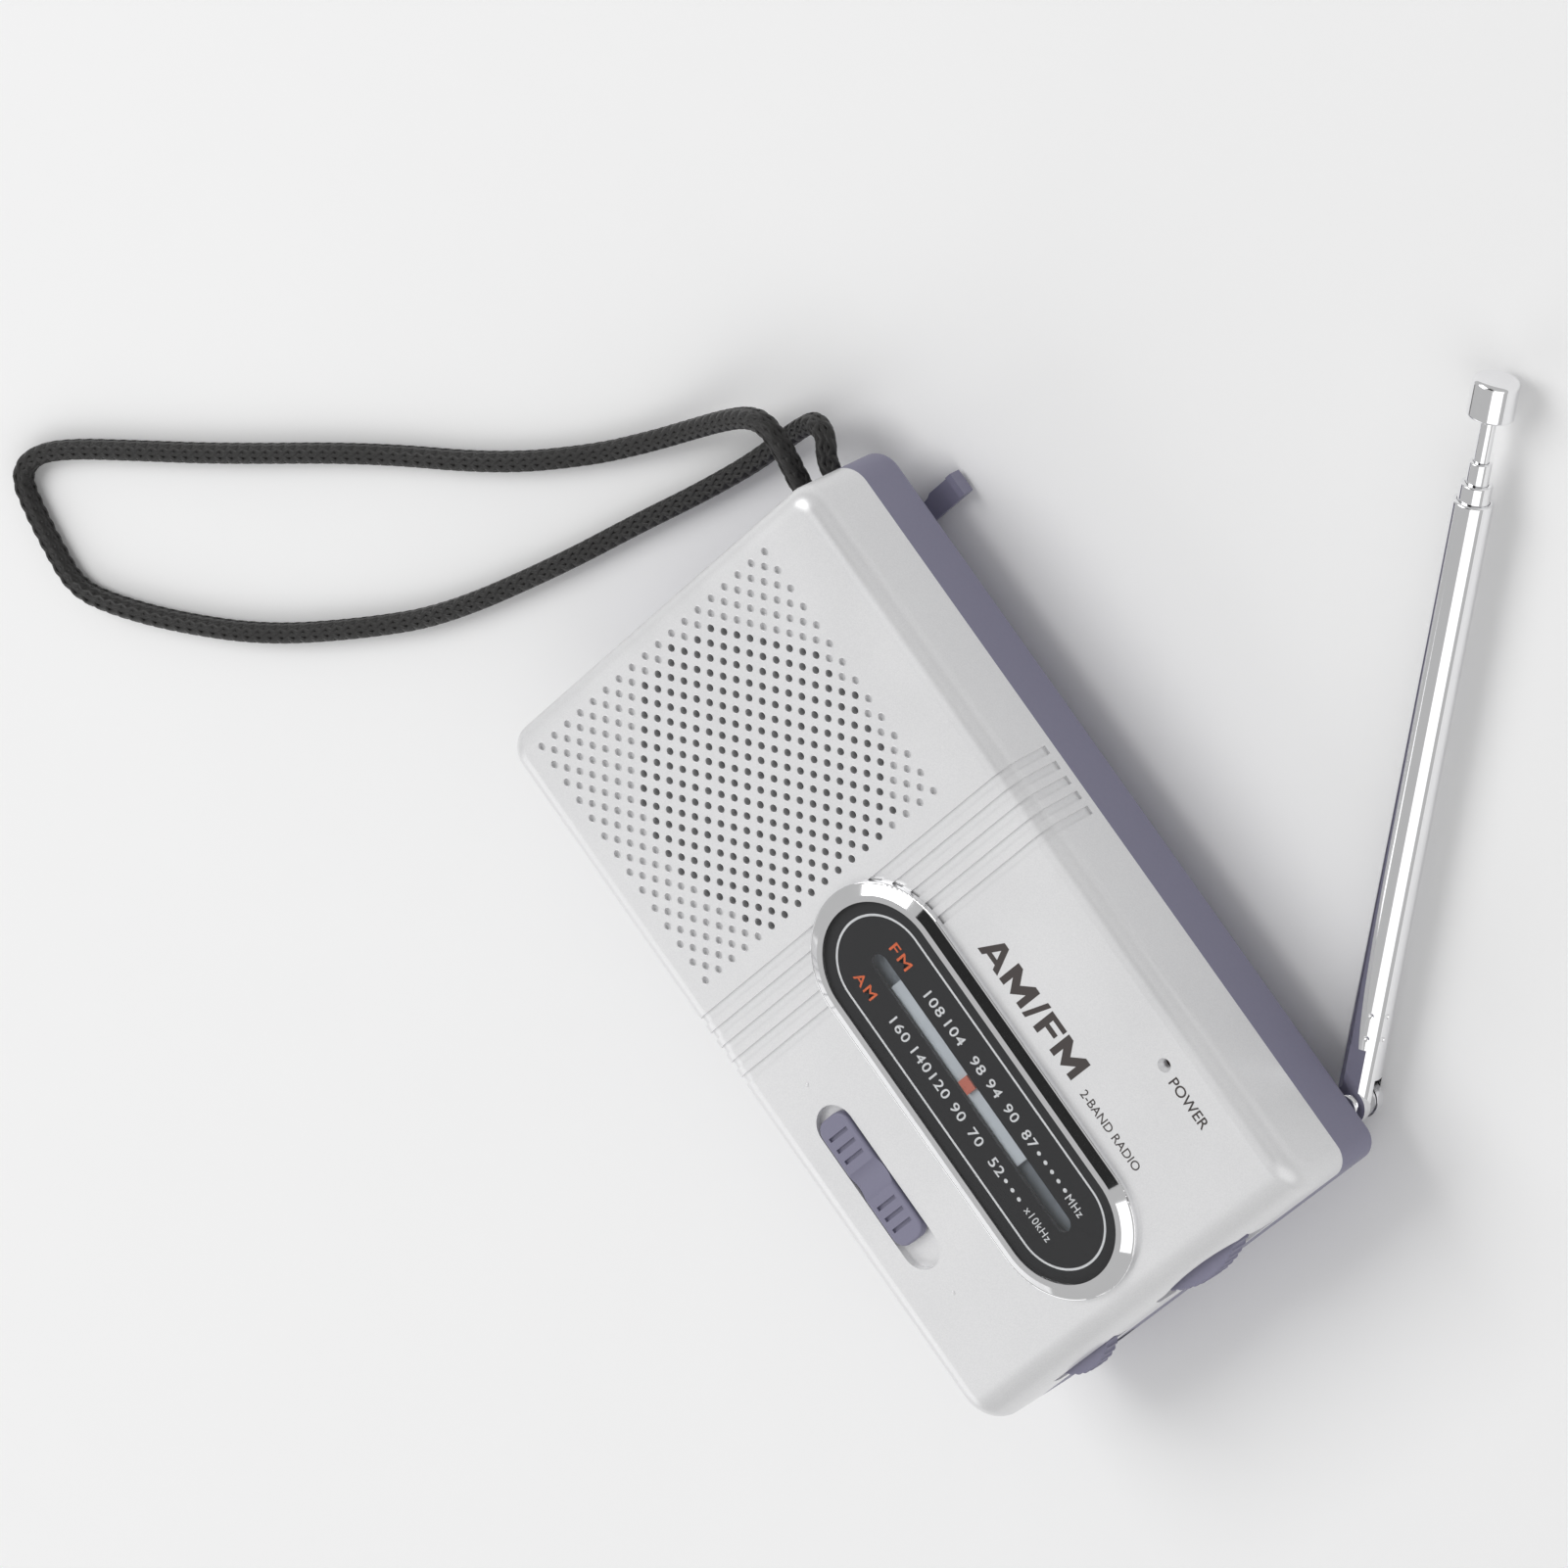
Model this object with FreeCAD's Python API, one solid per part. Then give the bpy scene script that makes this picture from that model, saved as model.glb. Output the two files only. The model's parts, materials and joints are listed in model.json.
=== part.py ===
import FreeCAD, Part
import math
import os

# Two-band pocket radio, lying on its back.  Millimetres, +Z out of the front face,
# +X towards the thumbwheels, +Y towards the top side with the antenna.
# The origin is the middle of the case plan, on the plane of the back.

V = FreeCAD.Vector
UP = V(0, 0, 1)

# ---------------------------------------------------------------- driving sizes
case_w = 117.0            # along X
case_h = 70.4             # along Y
case_d = 27.6             # back plane to front face
wall = 1.6
corner_r = 4.0            # plan corners at the cord end
front_r = 3.0             # soft front edge, which runs on down the corners at the wheel end
end_r = 5.8               # broad rounding over the wheel end
back_r = 0.9              # back edge of the cover's band
seam_z = 15.9             # where the front shell meets the back cover
band_z = 7.6              # back of the band; the deeper back starts here
deep_inset_x = 2.0        # deeper back, inside the case plan at each end
deep_inset_low = 1.5      # the same at the bottom side
groove_w = 7.5            # antenna groove along the top side
deep_r = 1.5              # edges of the deeper back
lip_h = 1.1               # tongue of the front shell inside the back cover
lip_gap = 0.10
hair = 0.30               # gap between pieces that move past each other
run_gap = 0.05            # radial gap of a running fit
tiny = 1e-4               # for picking edges by place

boss_in_x = 4.9           # case screws, in from the inside of the end walls
boss_in_low = 4.1         # and from the inside of the bottom side
boss_rim = 0.5            # cover's bosses outside the shell's
boss_r = 2.8
screw_r = 1.3
screw_len = 10.0
screw_head_r = 2.3
screw_head_h = 1.5
screw_seat_z = 10.0       # where the heads sit, up their counterbores
board_screw_r = 0.95

# speaker and its grille
spk_in_x = 27.2           # its middle, in from the cord end
spk_y = 0.0
spk_r = 25.0
spk_rim = 3.4             # flange outside the moving cone
spk_deep = 16.0           # flange to the back of the magnet
mag_r = 11.0
mag_h = 6.0
hole_pitch = 3.057
hole_r = 0.62
dimple_depth = 0.55
grille_dx = -23.1         # first hole, from the speaker's middle
grille_dy = -28.9
grille_cols = 14
grille_rows = 18

# face grooves beside the dial
rib_x = -10.4
rib_pitch = 2.48
rib_count = 5
rib_w = 1.3
rib_depth = 0.35
rib_end_z = 17.5

# dial: a stadium along X
dial_xa = -0.43           # centres of its two round ends
dial_xb = 41.2
dial_y = -0.9
dial_lens_r = 9.5
dial_border = 2.6         # chrome bezel outside the window
dial_h = 1.6              # bezel above the face
dial_top_w = 0.9          # flat top of the bezel
dial_ledge = 0.4          # rest under the scale's edge
lens_t = 0.6
scale_t = 0.6
slot_xa = -1.0            # centres of the pointer slot's round ends
slot_xb = 42.1
slot_r = 1.35
pointer_x = 19.35         # orange mark at rest
cord_post_x = -1.0        # far post of the dial cord
cord_post_r = 2.0
pointer_min = -11.35      # travel towards the high end of the band
pointer_max = 11.65
strip_x0 = 2.4            # sliding strip that carries the mark
strip_x1 = 32.2
strip_w = 4.4
strip_t = 0.8

# thumbwheels, turning about Z
tune_y = 10.6
tune_r = 14.5
tune_out = 1.4            # how far it stands out of the end wall
wheel_under = 6.0         # undersides of both wheels, below the inside of the face
tune_t = 3.6
drum_in = 7.0             # cord drum on the tuning wheel, inside the wheel's edge
drum_t = 1.3
shaft_r = 3.0
wheel_screw_r = 0.9
vol_y = -15.8
vol_r = 7.5
vol_out = 1.7
vol_t = 3.0
vol_post_r = 2.0

# band switch
sw_x = 22.7
sw_in_y = 10.35           # in from the bottom side
sw_len = 26.7             # recess in the face
sw_gap = 0.35             # round the knob
sw_depth = 1.2
knob_x0 = 10.9
knob_len = 20.7
knob_w = 5.9
knob_corner_r = 2.0
knob_rise = 0.45          # knob top above the face
switch_travel = 3.6
stem_len = 6.0
stem_w = 2.4

led_x = 33.6
led_in_y = 7.0            # in from the top side
led_r = 0.57
led_rim_r = 1.05          # countersink round the light's hole
led_sink = 0.85

# circuit board
board_under = 8.4         # underside of the board, below the inside of the face
pcb_t = 1.2
pcb_x0 = -4.6
pcb_gap = 0.5             # between the board's edge and the case wall
post_r = 2.1              # board posts behind the face

# batteries (size AA) and their bay
cell_r = 7.1
cell_len = 49.2
nub_r = 2.7
nub_len = 1.3
cell_x = 13.0             # middle of the cells
bay_len = 58.0
bay_in_y = 3.2            # inside of the bay, in from the bottom side
cell_z = 9.3
bay_wall = 1.2
door_t = 1.5

# earphone jack, in the right end of the back cover
jack_y = -18.0
jack_lift = 0.1           # above the cover's band
jack_bore_r = 1.8
jack_nose_r = 2.5
jack_depth = 14.0
jack_body = 5.0

# antenna: hinge about Z in the groove along the top side
pivot_in_x = 7.0          # hinge, in from the wheel end and the top side
pivot_in_y = 1.9
pivot_z = 4.1
ant_angle = 126.3         # from +X, as it stands at rest
lug_t = 1.6
lug_r = 2.6
fork_flat = 2.5           # half thickness across the cheeks
fork_slot_end = 4.4
fork_plug = 2.4           # how far the fork reaches into the first tube
rivet_r = 1.2
rivet_head_r = 1.7
tube1_r = 2.8
tube2_r = 2.2
tube3_r = 1.55
rod_r = 1.05
tube1_from = 9.0          # distances from the pivot, all four sections pushed in
tube2_from = 12.0
tube3_from = 16.0
rod_from = 20.0
tube1_to = 89.9
tube2_to = 92.4
tube3_to = 95.5
rod_to = 102.0
tip_len = 5.5
tip_r = 3.2
foot_len = 3.0
crimp_len = 1.2
tube1_wall = 0.35

# wrist cord
cord_d = 3.3
cord_hole_gap = 0.15
anchor_t = 1.3
cord_points = [
    (-56.3, 23.1, 12.7), (-60.4, 23.1, 12.7), (-65.0, 24.6, 13.3), (-69.8, 24.6, 12.9),
    (-72.8, 21.2, 10.8), (-75.4, 14.6, 7.5), (-78.0, 6.7, 4.2), (-81.2, -2.6, 2.2),
    (-85.4, -12.8, 1.65), (-93.4, -27.4, 1.65), (-107.3, -45.6, 1.65),
    (-121.9, -68.4, 1.65), (-131.8, -82.6, 1.65), (-138.4, -92.2, 1.65),
    (-141.4, -98.6, 1.65), (-140.6, -103.0, 1.65), (-136.2, -104.5, 1.65),
    (-129.4, -105.8, 1.65), (-122.6, -106.6, 1.65), (-116.8, -102.6, 1.65),
    (-108.2, -94.1, 1.65), (-97.8, -81.4, 1.65), (-88.6, -64.9, 1.65),
    (-82.2, -51.0, 1.65), (-76.7, -28.8, 1.65), (-73.6, -12.5, 1.65), (-71.2, -1.5, 1.8),
    (-69.2, 9.8, 2.4), (-68.5, 17.2, 3.4), (-67.9, 22.8, 5.1), (-66.9, 27.3, 7.3),
    (-64.0, 29.6, 9.9), (-60.4, 27.4, 11.2), (-56.3, 27.4, 11.2)]

# ---------------------------------------------------------------- sizes that follow
face_z = case_d
inner_z = case_d - wall
left_x = -case_w / 2
right_x = case_w / 2
top_y = case_h / 2
low_y = -case_h / 2
deep_x0 = left_x + deep_inset_x
deep_x1 = right_x - deep_inset_x
deep_y0 = low_y + deep_inset_low
deep_y1 = top_y - groove_w
boss_x = right_x - wall - boss_in_x
boss_low_y = low_y + wall + boss_in_low
boss_top_y = top_y - wall - boss_r - boss_rim
spk_x = left_x + spk_in_x
spk_cone_r = spk_r - spk_rim          # the grille holes go right through inside this circle
grille_x = spk_x + grille_dx
grille_y = spk_y + grille_dy
tune_z0 = inner_z - wheel_under
drum_r = tune_r - drum_in
pcb_z = inner_z - board_under
jack_z = band_z + wall + jack_lift + jack_body / 2
tune_x = right_x + tune_out - tune_r
vol_x = right_x + vol_out - vol_r
sw_y = low_y + sw_in_y
sw_r = knob_w / 2 + sw_gap
led_y = top_y - led_in_y
pcb_x1 = right_x - wall - pcb_gap
bay_y0 = low_y + bay_in_y
pivot_x = right_x - pivot_in_x
pivot_y = top_y - pivot_in_y
fork_r = tube1_r
tube1_bore = tube1_r - tube1_wall
dial_base_r = dial_lens_r + dial_border
dial_ledge_r = dial_lens_r - dial_ledge
spk_top = inner_z - 0.6
mag_z0 = spk_top - spk_deep
mag_z1 = mag_z0 + mag_h
dial_r = dial_ledge_r + 1.35          # bezel skirt
window_r = dial_r + run_gap
bezel_z = face_z + dial_h
lens_z1 = bezel_z - 0.2
scale_z1 = lens_z1 - lens_t
scale_z0 = scale_z1 - scale_t
strip_z1 = scale_z0 - 0.2
strip_z0 = strip_z1 - strip_t
guide_z1 = strip_z0 - 0.1
guide_z0 = inner_z + 0.1
tune_z1 = tune_z0 + tune_t
drum_z1 = tune_z1 + drum_t
cord_z = tune_z1 + drum_t / 2
pcb_top = pcb_z + pcb_t
shaft_z0 = pcb_z - 5.0
bay_x0 = cell_x - bay_len / 2
bay_x1 = cell_x + bay_len / 2
cell_pitch = 2 * cell_r + 0.4
cell_y0 = bay_y0 + 0.4 + cell_r
cell_y1 = cell_y0 + cell_pitch
bay_y1 = cell_y1 + cell_r + 0.5
cord_r = cord_d / 2
knob_x1 = knob_x0 + knob_len
stem_x = knob_x0 + knob_len / 2


# ---------------------------------------------------------------- helpers
def box(x0, x1, y0, y1, z0, z1):
    return Part.makeBox(x1 - x0, y1 - y0, z1 - z0, V(x0, y0, z0))


def disc(x, y, z0, z1, r):
    return Part.makeCylinder(r, z1 - z0, V(x, y, z0), UP)


def rod_x(x0, x1, y, z, r):
    return Part.makeCylinder(r, x1 - x0, V(x0, y, z), V(1, 0, 0))


def tube(x, y, z0, z1, r, bore):
    return disc(x, y, z0, z1, r).cut(disc(x, y, z0 - 1, z1 + 1, bore))


def rounded(x0, x1, y0, y1, z0, z1, left_r, right_r):
    """A plate with rounded plan corners, one radius at each end."""
    corners = ((x1 - right_r, y1 - right_r, 0, right_r), (x0 + left_r, y1 - left_r, 90, left_r),
               (x0 + left_r, y0 + left_r, 180, left_r), (x1 - right_r, y0 + right_r, 270, right_r))
    arcs = []
    for cx, cy, a, r in corners:
        turn = [math.radians(a + k * 45) for k in range(3)]
        ends = [V(cx + r * math.cos(t), cy + r * math.sin(t), z0) for t in turn]
        arcs.append((ends, Part.Arc(*ends).toShape()))
    edges = []
    for k in range(4):
        edges.append(arcs[k][1])
        edges.append(Part.LineSegment(arcs[k][0][2], arcs[(k + 1) % 4][0][0]).toShape())
    return Part.Face(Part.Wire(edges)).extrude(V(0, 0, z1 - z0))


def stadium(xa, xb, y, r, z0, z1):
    """A slot shape along X between two round ends."""
    return fuse([box(xa, xb, y - r, y + r, z0, z1), disc(xa, y, z0, z1, r), disc(xb, y, z0, z1, r)])


def fuse(shapes):
    return shapes[0].multiFuse(shapes[1:]).removeSplitter()


def edges_at(shape, z):
    return [e for e in shape.Edges if abs(e.BoundBox.ZMin - z) < tiny and abs(e.BoundBox.ZMax - z) < tiny]


def soften(shape, z, r):
    return shape.makeFillet(r, edges_at(shape, z))


def save(name, shape):
    solids = shape.Solids
    if len(solids) == 1:
        shape = solids[0]
    shape.exportStep("parts/" + name + ".step")
    print("%-24s solids %2d  volume %9.2f  valid %s" % (name, len(solids), shape.Volume, shape.isValid()))


# ---------------------------------------------------------------- case
def case_plan(inset, z0, z1):
    """The case plan, drawn in by inset, as a plate."""
    return rounded(left_x + inset, right_x - inset, low_y + inset, top_y - inset, z0, z1,
                   corner_r - inset, front_r - inset)


def case_block(inset, z0):
    """The front of the case, drawn in by inset; its soft edge runs on down the wheel end's corners."""
    x0 = left_x + inset
    x1 = right_x - inset
    y1 = top_y - inset
    z1 = face_z - inset
    block = box(x0, x1, low_y + inset, y1, z0, z1)
    uprights = [e for e in block.Edges if e.BoundBox.XMax < x0 + tiny and e.BoundBox.YLength < tiny]
    block = block.makeFillet(corner_r - inset, uprights)
    block = block.makeFillet(end_r - inset, [e for e in edges_at(block, z1) if e.BoundBox.XMin > x1 - tiny])
    return block.makeFillet(front_r - inset, [e for e in edges_at(block, z1) if e.BoundBox.YMin > y1 - tiny])


def boss_places():
    return [(sx * boss_x, y) for sx in (-1, 1) for y in (boss_low_y, boss_top_y)]


def grille_cutters():
    """Staggered holes, through to the cone inside the speaker's circle and blind outside it."""
    cutters = []
    half = hole_pitch / 2
    for row in range(2 * grille_rows - 1):
        for col in range(2 * grille_cols - 1):
            if row % 2 == col % 2:
                x = grille_x + col * half
                y = grille_y + row * half
                through = math.hypot(x - spk_x, y - spk_y) < spk_cone_r
                deep = inner_z - 1 if through else face_z - dimple_depth
                cutters.append(disc(x, y, deep, face_z + 1, hole_r))
    return Part.makeCompound(cutters)


def rib_cutters():
    """Shallow grooves over the face and down both long sides."""
    core = case_block(rib_depth, seam_z - 2)
    cutters = []
    for k in range(rib_count):
        x = rib_x + k * rib_pitch
        slab = box(x - rib_w / 2, x + rib_w / 2, low_y - 1, top_y + 1, rib_end_z, face_z + 1)
        cutters.append(slab.cut(core))
    return Part.makeCompound(cutters)


def pcb_posts():
    return [(-1.0, top_y - 6.7), (22.0, top_y - 5.2), (-1.0, low_y + 4.7), (41.0, low_y + 4.2)]


def front_shell():
    shell = case_block(0, seam_z).cut(case_block(wall, seam_z - 1))
    lip_out = case_plan(wall / 2 + lip_gap / 2, seam_z - lip_h, seam_z + 0.5)
    lip = lip_out.cut(case_plan(wall, seam_z - 2, seam_z + 1))
    ring = tube(spk_x, spk_y, face_z - 7.0, inner_z + 0.5, spk_r + 1.1, spk_r + 0.1)
    ring = ring.common(case_block(wall / 2, seam_z))
    pads = [shell, lip, ring]
    for x, y in boss_places():
        pads.append(disc(x, y, seam_z, inner_z + 0.5, boss_r - 0.2))
    for x, y in pcb_posts():
        pads.append(disc(x, y, pcb_top, inner_z + 0.5, post_r))
    pads.append(stadium(sw_x - sw_len / 2 + sw_r, sw_x + sw_len / 2 - sw_r, sw_y, sw_r + 1.0,
                        face_z - sw_depth - 1.2, inner_z + 0.5))
    shell = fuse(pads)
    cuts = [stadium(dial_xa, dial_xb, dial_y, window_r, guide_z0 - 3, face_z + 1)]
    cuts.append(stadium(sw_x - sw_len / 2 + sw_r, sw_x + sw_len / 2 - sw_r, sw_y, sw_r,
                        face_z - sw_depth, face_z + 1))
    cuts.append(box(stem_x - stem_len / 2 - hair, stem_x + stem_len / 2 + switch_travel + hair,
                    sw_y - stem_w / 2 - hair, sw_y + stem_w / 2 + hair, face_z - sw_depth - 2, face_z))
    cuts.append(disc(led_x, led_y, inner_z - 1, face_z, led_r))
    cuts.append(Part.makeCone(led_r, led_rim_r, led_sink, V(led_x, led_y, face_z - led_sink), UP))
    tune_half = math.sqrt(tune_r ** 2 - (right_x - wall - tune_x) ** 2) + 1.0
    cuts.append(box(right_x - wall - 1, right_x + 2, tune_y - tune_half, tune_y + tune_half,
                    tune_z0 - 0.6, tune_z1 + 0.5))
    scoop_r = 61.0
    cuts.append(disc(right_x - 1.0 + scoop_r, tune_y, tune_z0 - 2.6, face_z - 1.7, scoop_r))
    vol_half = math.sqrt(vol_r ** 2 - (right_x - wall - vol_x) ** 2) + 0.5
    cuts.append(box(right_x - wall - 1, right_x + 2, vol_y - vol_half, vol_y + vol_half,
                    tune_z0 - 0.4, tune_z0 + vol_t + 0.4))
    for x, y in boss_places():
        cuts.append(disc(x, y, seam_z - 1, screw_seat_z + screw_len + 0.5, screw_r))
    for x, y in pcb_posts():
        cuts.append(disc(x, y, pcb_top - 1, pcb_top + 4.4, board_screw_r))
    shell = shell.cut(Part.makeCompound(cuts))
    shell = shell.cut(rib_cutters())
    return shell.cut(grille_cutters())


def back_cover():
    band = case_plan(0, band_z, seam_z)
    band = soften(band, band_z, back_r)
    deep = rounded(deep_x0, deep_x1, deep_y0, deep_y1, 0, band_z + 1.0, corner_r, corner_r)
    deep = soften(deep, 0, deep_r)
    outer = fuse([band, deep])
    outer = outer.cut(case_plan(wall, band_z + wall, seam_z + 1))
    deep_in = rounded(deep_x0 + wall, deep_x1 - wall, deep_y0 + wall, deep_y1 - wall, wall,
                      band_z + wall + 0.1, corner_r - wall, corner_r - wall)
    outer = outer.cut(deep_in)
    outer = outer.cut(case_plan(wall / 2 - lip_gap / 2, seam_z - lip_h - 0.1, seam_z + 1))
    pads = [outer]
    for x, y in boss_places():
        foot = band_z if y > 0 else 0.0
        pads.append(disc(x, y, foot + 0.4, seam_z - 0.1, boss_r + boss_rim))
    bay_top = cell_z + 2.0
    pads.append(box(bay_x0 - bay_wall, bay_x0, bay_y0 - 0.6, bay_y1 + bay_wall, wall - 0.5, bay_top))
    pads.append(box(bay_x1, bay_x1 + bay_wall, bay_y0 - 0.6, bay_y1 + bay_wall, wall - 0.5, bay_top))
    pads.append(box(bay_x0, bay_x1, bay_y1, bay_y1 + bay_wall, wall - 0.5, bay_top))
    # antenna lug's seat and the clip that holds the folded rod
    pads.append(disc(pivot_x, deep_y1 - 5.2, wall - 0.5, pivot_z - lug_t / 2, 3.2))
    pads.append(box(-49.9, -46.5, deep_y1 - 1.0, 37.4, 0.4, 1.5))
    pads.append(box(-49.9, -46.5, 36.3, 37.4, 1.0, 2.6))
    cover = fuse(pads)
    cuts = []
    for x, y in boss_places():
        cuts.append(disc(x, y, -1, screw_seat_z, screw_head_r + 0.25))
        cuts.append(disc(x, y, -1, seam_z + 1, screw_r + 0.2))
    cuts.append(box(bay_x0, bay_x1, deep_y0 - 2, bay_y1, -1, wall + 0.01))
    cuts.append(box(bay_x0, bay_x1, deep_y0 - 2, deep_y0 + wall + 0.01, -1, band_z))
    for side in (bay_x0, bay_x1):
        cuts.append(box(side - 0.9, side + 0.9, deep_y0 - 2, bay_y1 - 6, 0.55, 1.15))
    cuts.append(box(pivot_x - lug_r - 0.1, pivot_x + 3.1, deep_y1 - wall - 1, deep_y1 + 1,
                    pivot_z - lug_t / 2 - 0.05, pivot_z + lug_t / 2 + 0.05))
    cuts.append(disc(pivot_x, deep_y1 - 5.2, wall, 10, 0.9))
    cuts.append(rod_x(right_x - wall - 1, right_x + 1, jack_y, jack_z, jack_nose_r + 0.1))
    return cover.cut(Part.makeCompound(cuts + cord_bores()))


def cord_bores():
    """Where the two ends of the wrist cord enter, straight along X."""
    ends = (cord_points[0], cord_points[-1])
    return [rod_x(left_x - 1, x, y, z, cord_r + cord_hole_gap) for x, y, z in ends]


def battery_door():
    """Slides towards the bottom side; its flange closes the low wall of the deeper back."""
    x0 = bay_x0 + hair
    x1 = bay_x1 - hair
    plate = box(x0, x1, deep_y0, bay_y1 - hair, 0, door_t)
    flange = box(x0, x1, deep_y0, deep_y0 + door_t, 0, band_z - hair)
    door = fuse([plate, flange])
    edge = [e for e in edges_at(door, 0) if abs(e.BoundBox.YMax - deep_y0) < tiny]
    door = door.makeFillet(min(1.2, 0.8 * door_t), edge)
    tongues = []
    for side, way in ((x0, -1), (x1, 1)):
        low = side if way > 0 else side - 0.8
        tongues.append(box(low, low + 0.8, deep_y0 + 2.0, bay_y1 - 7.5, 0.6, 1.1))
    door = fuse([door] + tongues)
    grips = [box(cell_x - 6, cell_x + 6, bay_y0 + 1.5 + 1.6 * k, bay_y0 + 2.3 + 1.6 * k, -1, 0.4)
             for k in range(5)]
    return door.cut(Part.makeCompound(grips))


def case_screws():
    screws = []
    for x, y in boss_places():
        head = disc(x, y, screw_seat_z - screw_head_h, screw_seat_z, screw_head_r)
        head = soften(head, screw_seat_z - screw_head_h, 0.7)
        head = head.cut(box(x - 1.5, x + 1.5, y - 0.25, y + 0.25, 0, screw_seat_z - screw_head_h + 0.7))
        head = head.cut(box(x - 0.25, x + 0.25, y - 1.5, y + 1.5, 0, screw_seat_z - screw_head_h + 0.7))
        screws.append(fuse([head, disc(x, y, screw_seat_z - 0.1, screw_seat_z + screw_len, screw_r)]))
    return Part.makeCompound(screws)


# ---------------------------------------------------------------- dial
def sloped_stadium(xa, xb, y, r0, r1, z0, z1):
    """A slot shape along X that narrows from r0 to r1 on its way up."""
    ends = [Part.makeCone(r0, r1, z1 - z0, V(x, y, z0), UP) for x in (xa, xb)]
    outline = [V(xa, y + dy, z) for dy, z in ((-r0, z0), (r0, z0), (r1, z1), (-r1, z1), (-r0, z0))]
    return fuse([Part.Face(Part.makePolygon(outline)).extrude(V(xb - xa, 0, 0))] + ends)


def dial_bezel():
    """Chrome ring: a skirt in the case window, a ledge under the scale, a low step and a sloping crown."""
    skirt = stadium(dial_xa, dial_xb, dial_y, dial_r, inner_z + 0.3, face_z + 0.2)
    step_z = face_z + dial_h / 2
    step = stadium(dial_xa, dial_xb, dial_y, dial_base_r, face_z, step_z)
    step = step.makeFillet(0.2, edges_at(step, step_z))
    crown = sloped_stadium(dial_xa, dial_xb, dial_y, dial_base_r - 0.35, dial_lens_r + dial_top_w,
                           step_z, bezel_z)
    ring = fuse([skirt, step, crown])
    ring = ring.cut(stadium(dial_xa, dial_xb, dial_y, dial_lens_r, scale_z0, bezel_z + 1))
    return ring.cut(stadium(dial_xa, dial_xb, dial_y, dial_ledge_r, 0, bezel_z + 1))


def dial_scale():
    """Black plate with the pointer slot, resting on the bezel's ledge."""
    plate = stadium(dial_xa, dial_xb, dial_y, dial_lens_r - 0.02, scale_z0, scale_z1)
    return plate.cut(stadium(slot_xa, slot_xb, dial_y, slot_r, scale_z0 - 1, scale_z1 + 1))


def dial_lens():
    return stadium(dial_xa, dial_xb, dial_y, dial_lens_r - 0.02, scale_z1, lens_z1)


def leg_y():
    """Line of the cord run that pulls the pointer."""
    return tune_y - drum_r


def pointer_strip():
    y0 = dial_y - strip_w / 2
    y1 = dial_y + strip_w / 2
    strip = box(strip_x0, strip_x1, y0, y1, strip_z0, strip_z1)
    arm = box(pointer_x - 1.5, pointer_x + 1.5, dial_y, leg_y() + 0.8, strip_z0, strip_z1)
    leg = box(pointer_x - 1.5, pointer_x + 1.5, leg_y() - 0.8, leg_y() + 0.8, cord_z + 0.6, strip_z1)
    return fuse([strip, arm, leg])


def pointer_mark():
    return box(pointer_x - 1.1, pointer_x + 1.1, dial_y - 0.95, dial_y + 0.95, strip_z1, strip_z1 + 0.6)


def pointer_guide():
    """Rail under the strip, hung on two ears behind the case face."""
    y0 = dial_y - strip_w / 2 - 0.6
    y1 = leg_y() + 1.5
    x0 = strip_x0 + pointer_min - 0.1
    x1 = strip_x1 + pointer_max + 0.1
    inside = stadium(dial_xa, dial_xb, dial_y, dial_ledge_r - hair, guide_z0, guide_z1)
    base = box(x0, x1, y0, y1, guide_z0, guide_z1).common(inside)
    rail = box(x0, x1, y0, y0 + 0.45, guide_z0, strip_z1 - 0.1)
    ears = []
    for x in (4.0, 35.0):
        ears.append(box(x - 3, x + 3, dial_y - window_r - 1.6, dial_y + window_r + 1.6,
                        inner_z - 0.6, inner_z))
        ears.append(box(x - 3, x + 3, y0, y1, inner_z - 0.6, guide_z0 + 0.1))
    guide = fuse([base, rail] + ears)
    return guide.cut(box(pointer_x + pointer_min - 1.9, pointer_x + pointer_max + 1.9,
                         leg_y() - 1.1, leg_y() + 1.1, 0, face_z))


def belt_band(x1, y1, r1, x2, y2, r2, grow):
    """Outline of an open belt round two drums, grown by grow, as a flat plate outline."""
    d = math.hypot(x2 - x1, y2 - y1)
    base = math.atan2(y2 - y1, x2 - x1)
    lean = math.acos((r1 - r2) / d)
    marks = []
    for cx, cy, r, a0, a1 in ((x1, y1, r1, base + lean, base - lean + 2 * math.pi),
                              (x2, y2, r2, base - lean, base + lean)):
        r = r + grow
        ends = [V(cx + r * math.cos(t), cy + r * math.sin(t), 0) for t in (a0, (a0 + a1) / 2, a1)]
        marks.append(ends)
    edges = [Part.Arc(*marks[0]).toShape(), Part.LineSegment(marks[0][2], marks[1][0]).toShape(),
             Part.Arc(*marks[1]).toShape(), Part.LineSegment(marks[1][2], marks[0][0]).toShape()]
    return Part.Face(Part.Wire(edges))


def dial_cord():
    """Thin closed cord round the drum and the far post."""
    post_y = leg_y() + cord_post_r
    outer = belt_band(cord_post_x, post_y, cord_post_r, tune_x, tune_y, drum_r, 0.8 - hair)
    inner = belt_band(cord_post_x, post_y, cord_post_r, tune_x, tune_y, drum_r, 0.0)
    band = outer.cut(inner).extrude(V(0, 0, 0.3))
    band.translate(V(0, 0, cord_z - 0.15))
    return band


def cord_post():
    post_y = leg_y() + cord_post_r
    post = fuse([disc(cord_post_x, post_y, pcb_top, cord_z - 0.6, cord_post_r + 0.8),
                 disc(cord_post_x, post_y, cord_z - 0.6, cord_z + 0.6, cord_post_r - run_gap),
                 disc(cord_post_x, post_y, cord_z + 0.6, cord_z + 1.0, cord_post_r + 0.8)])
    return post


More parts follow.
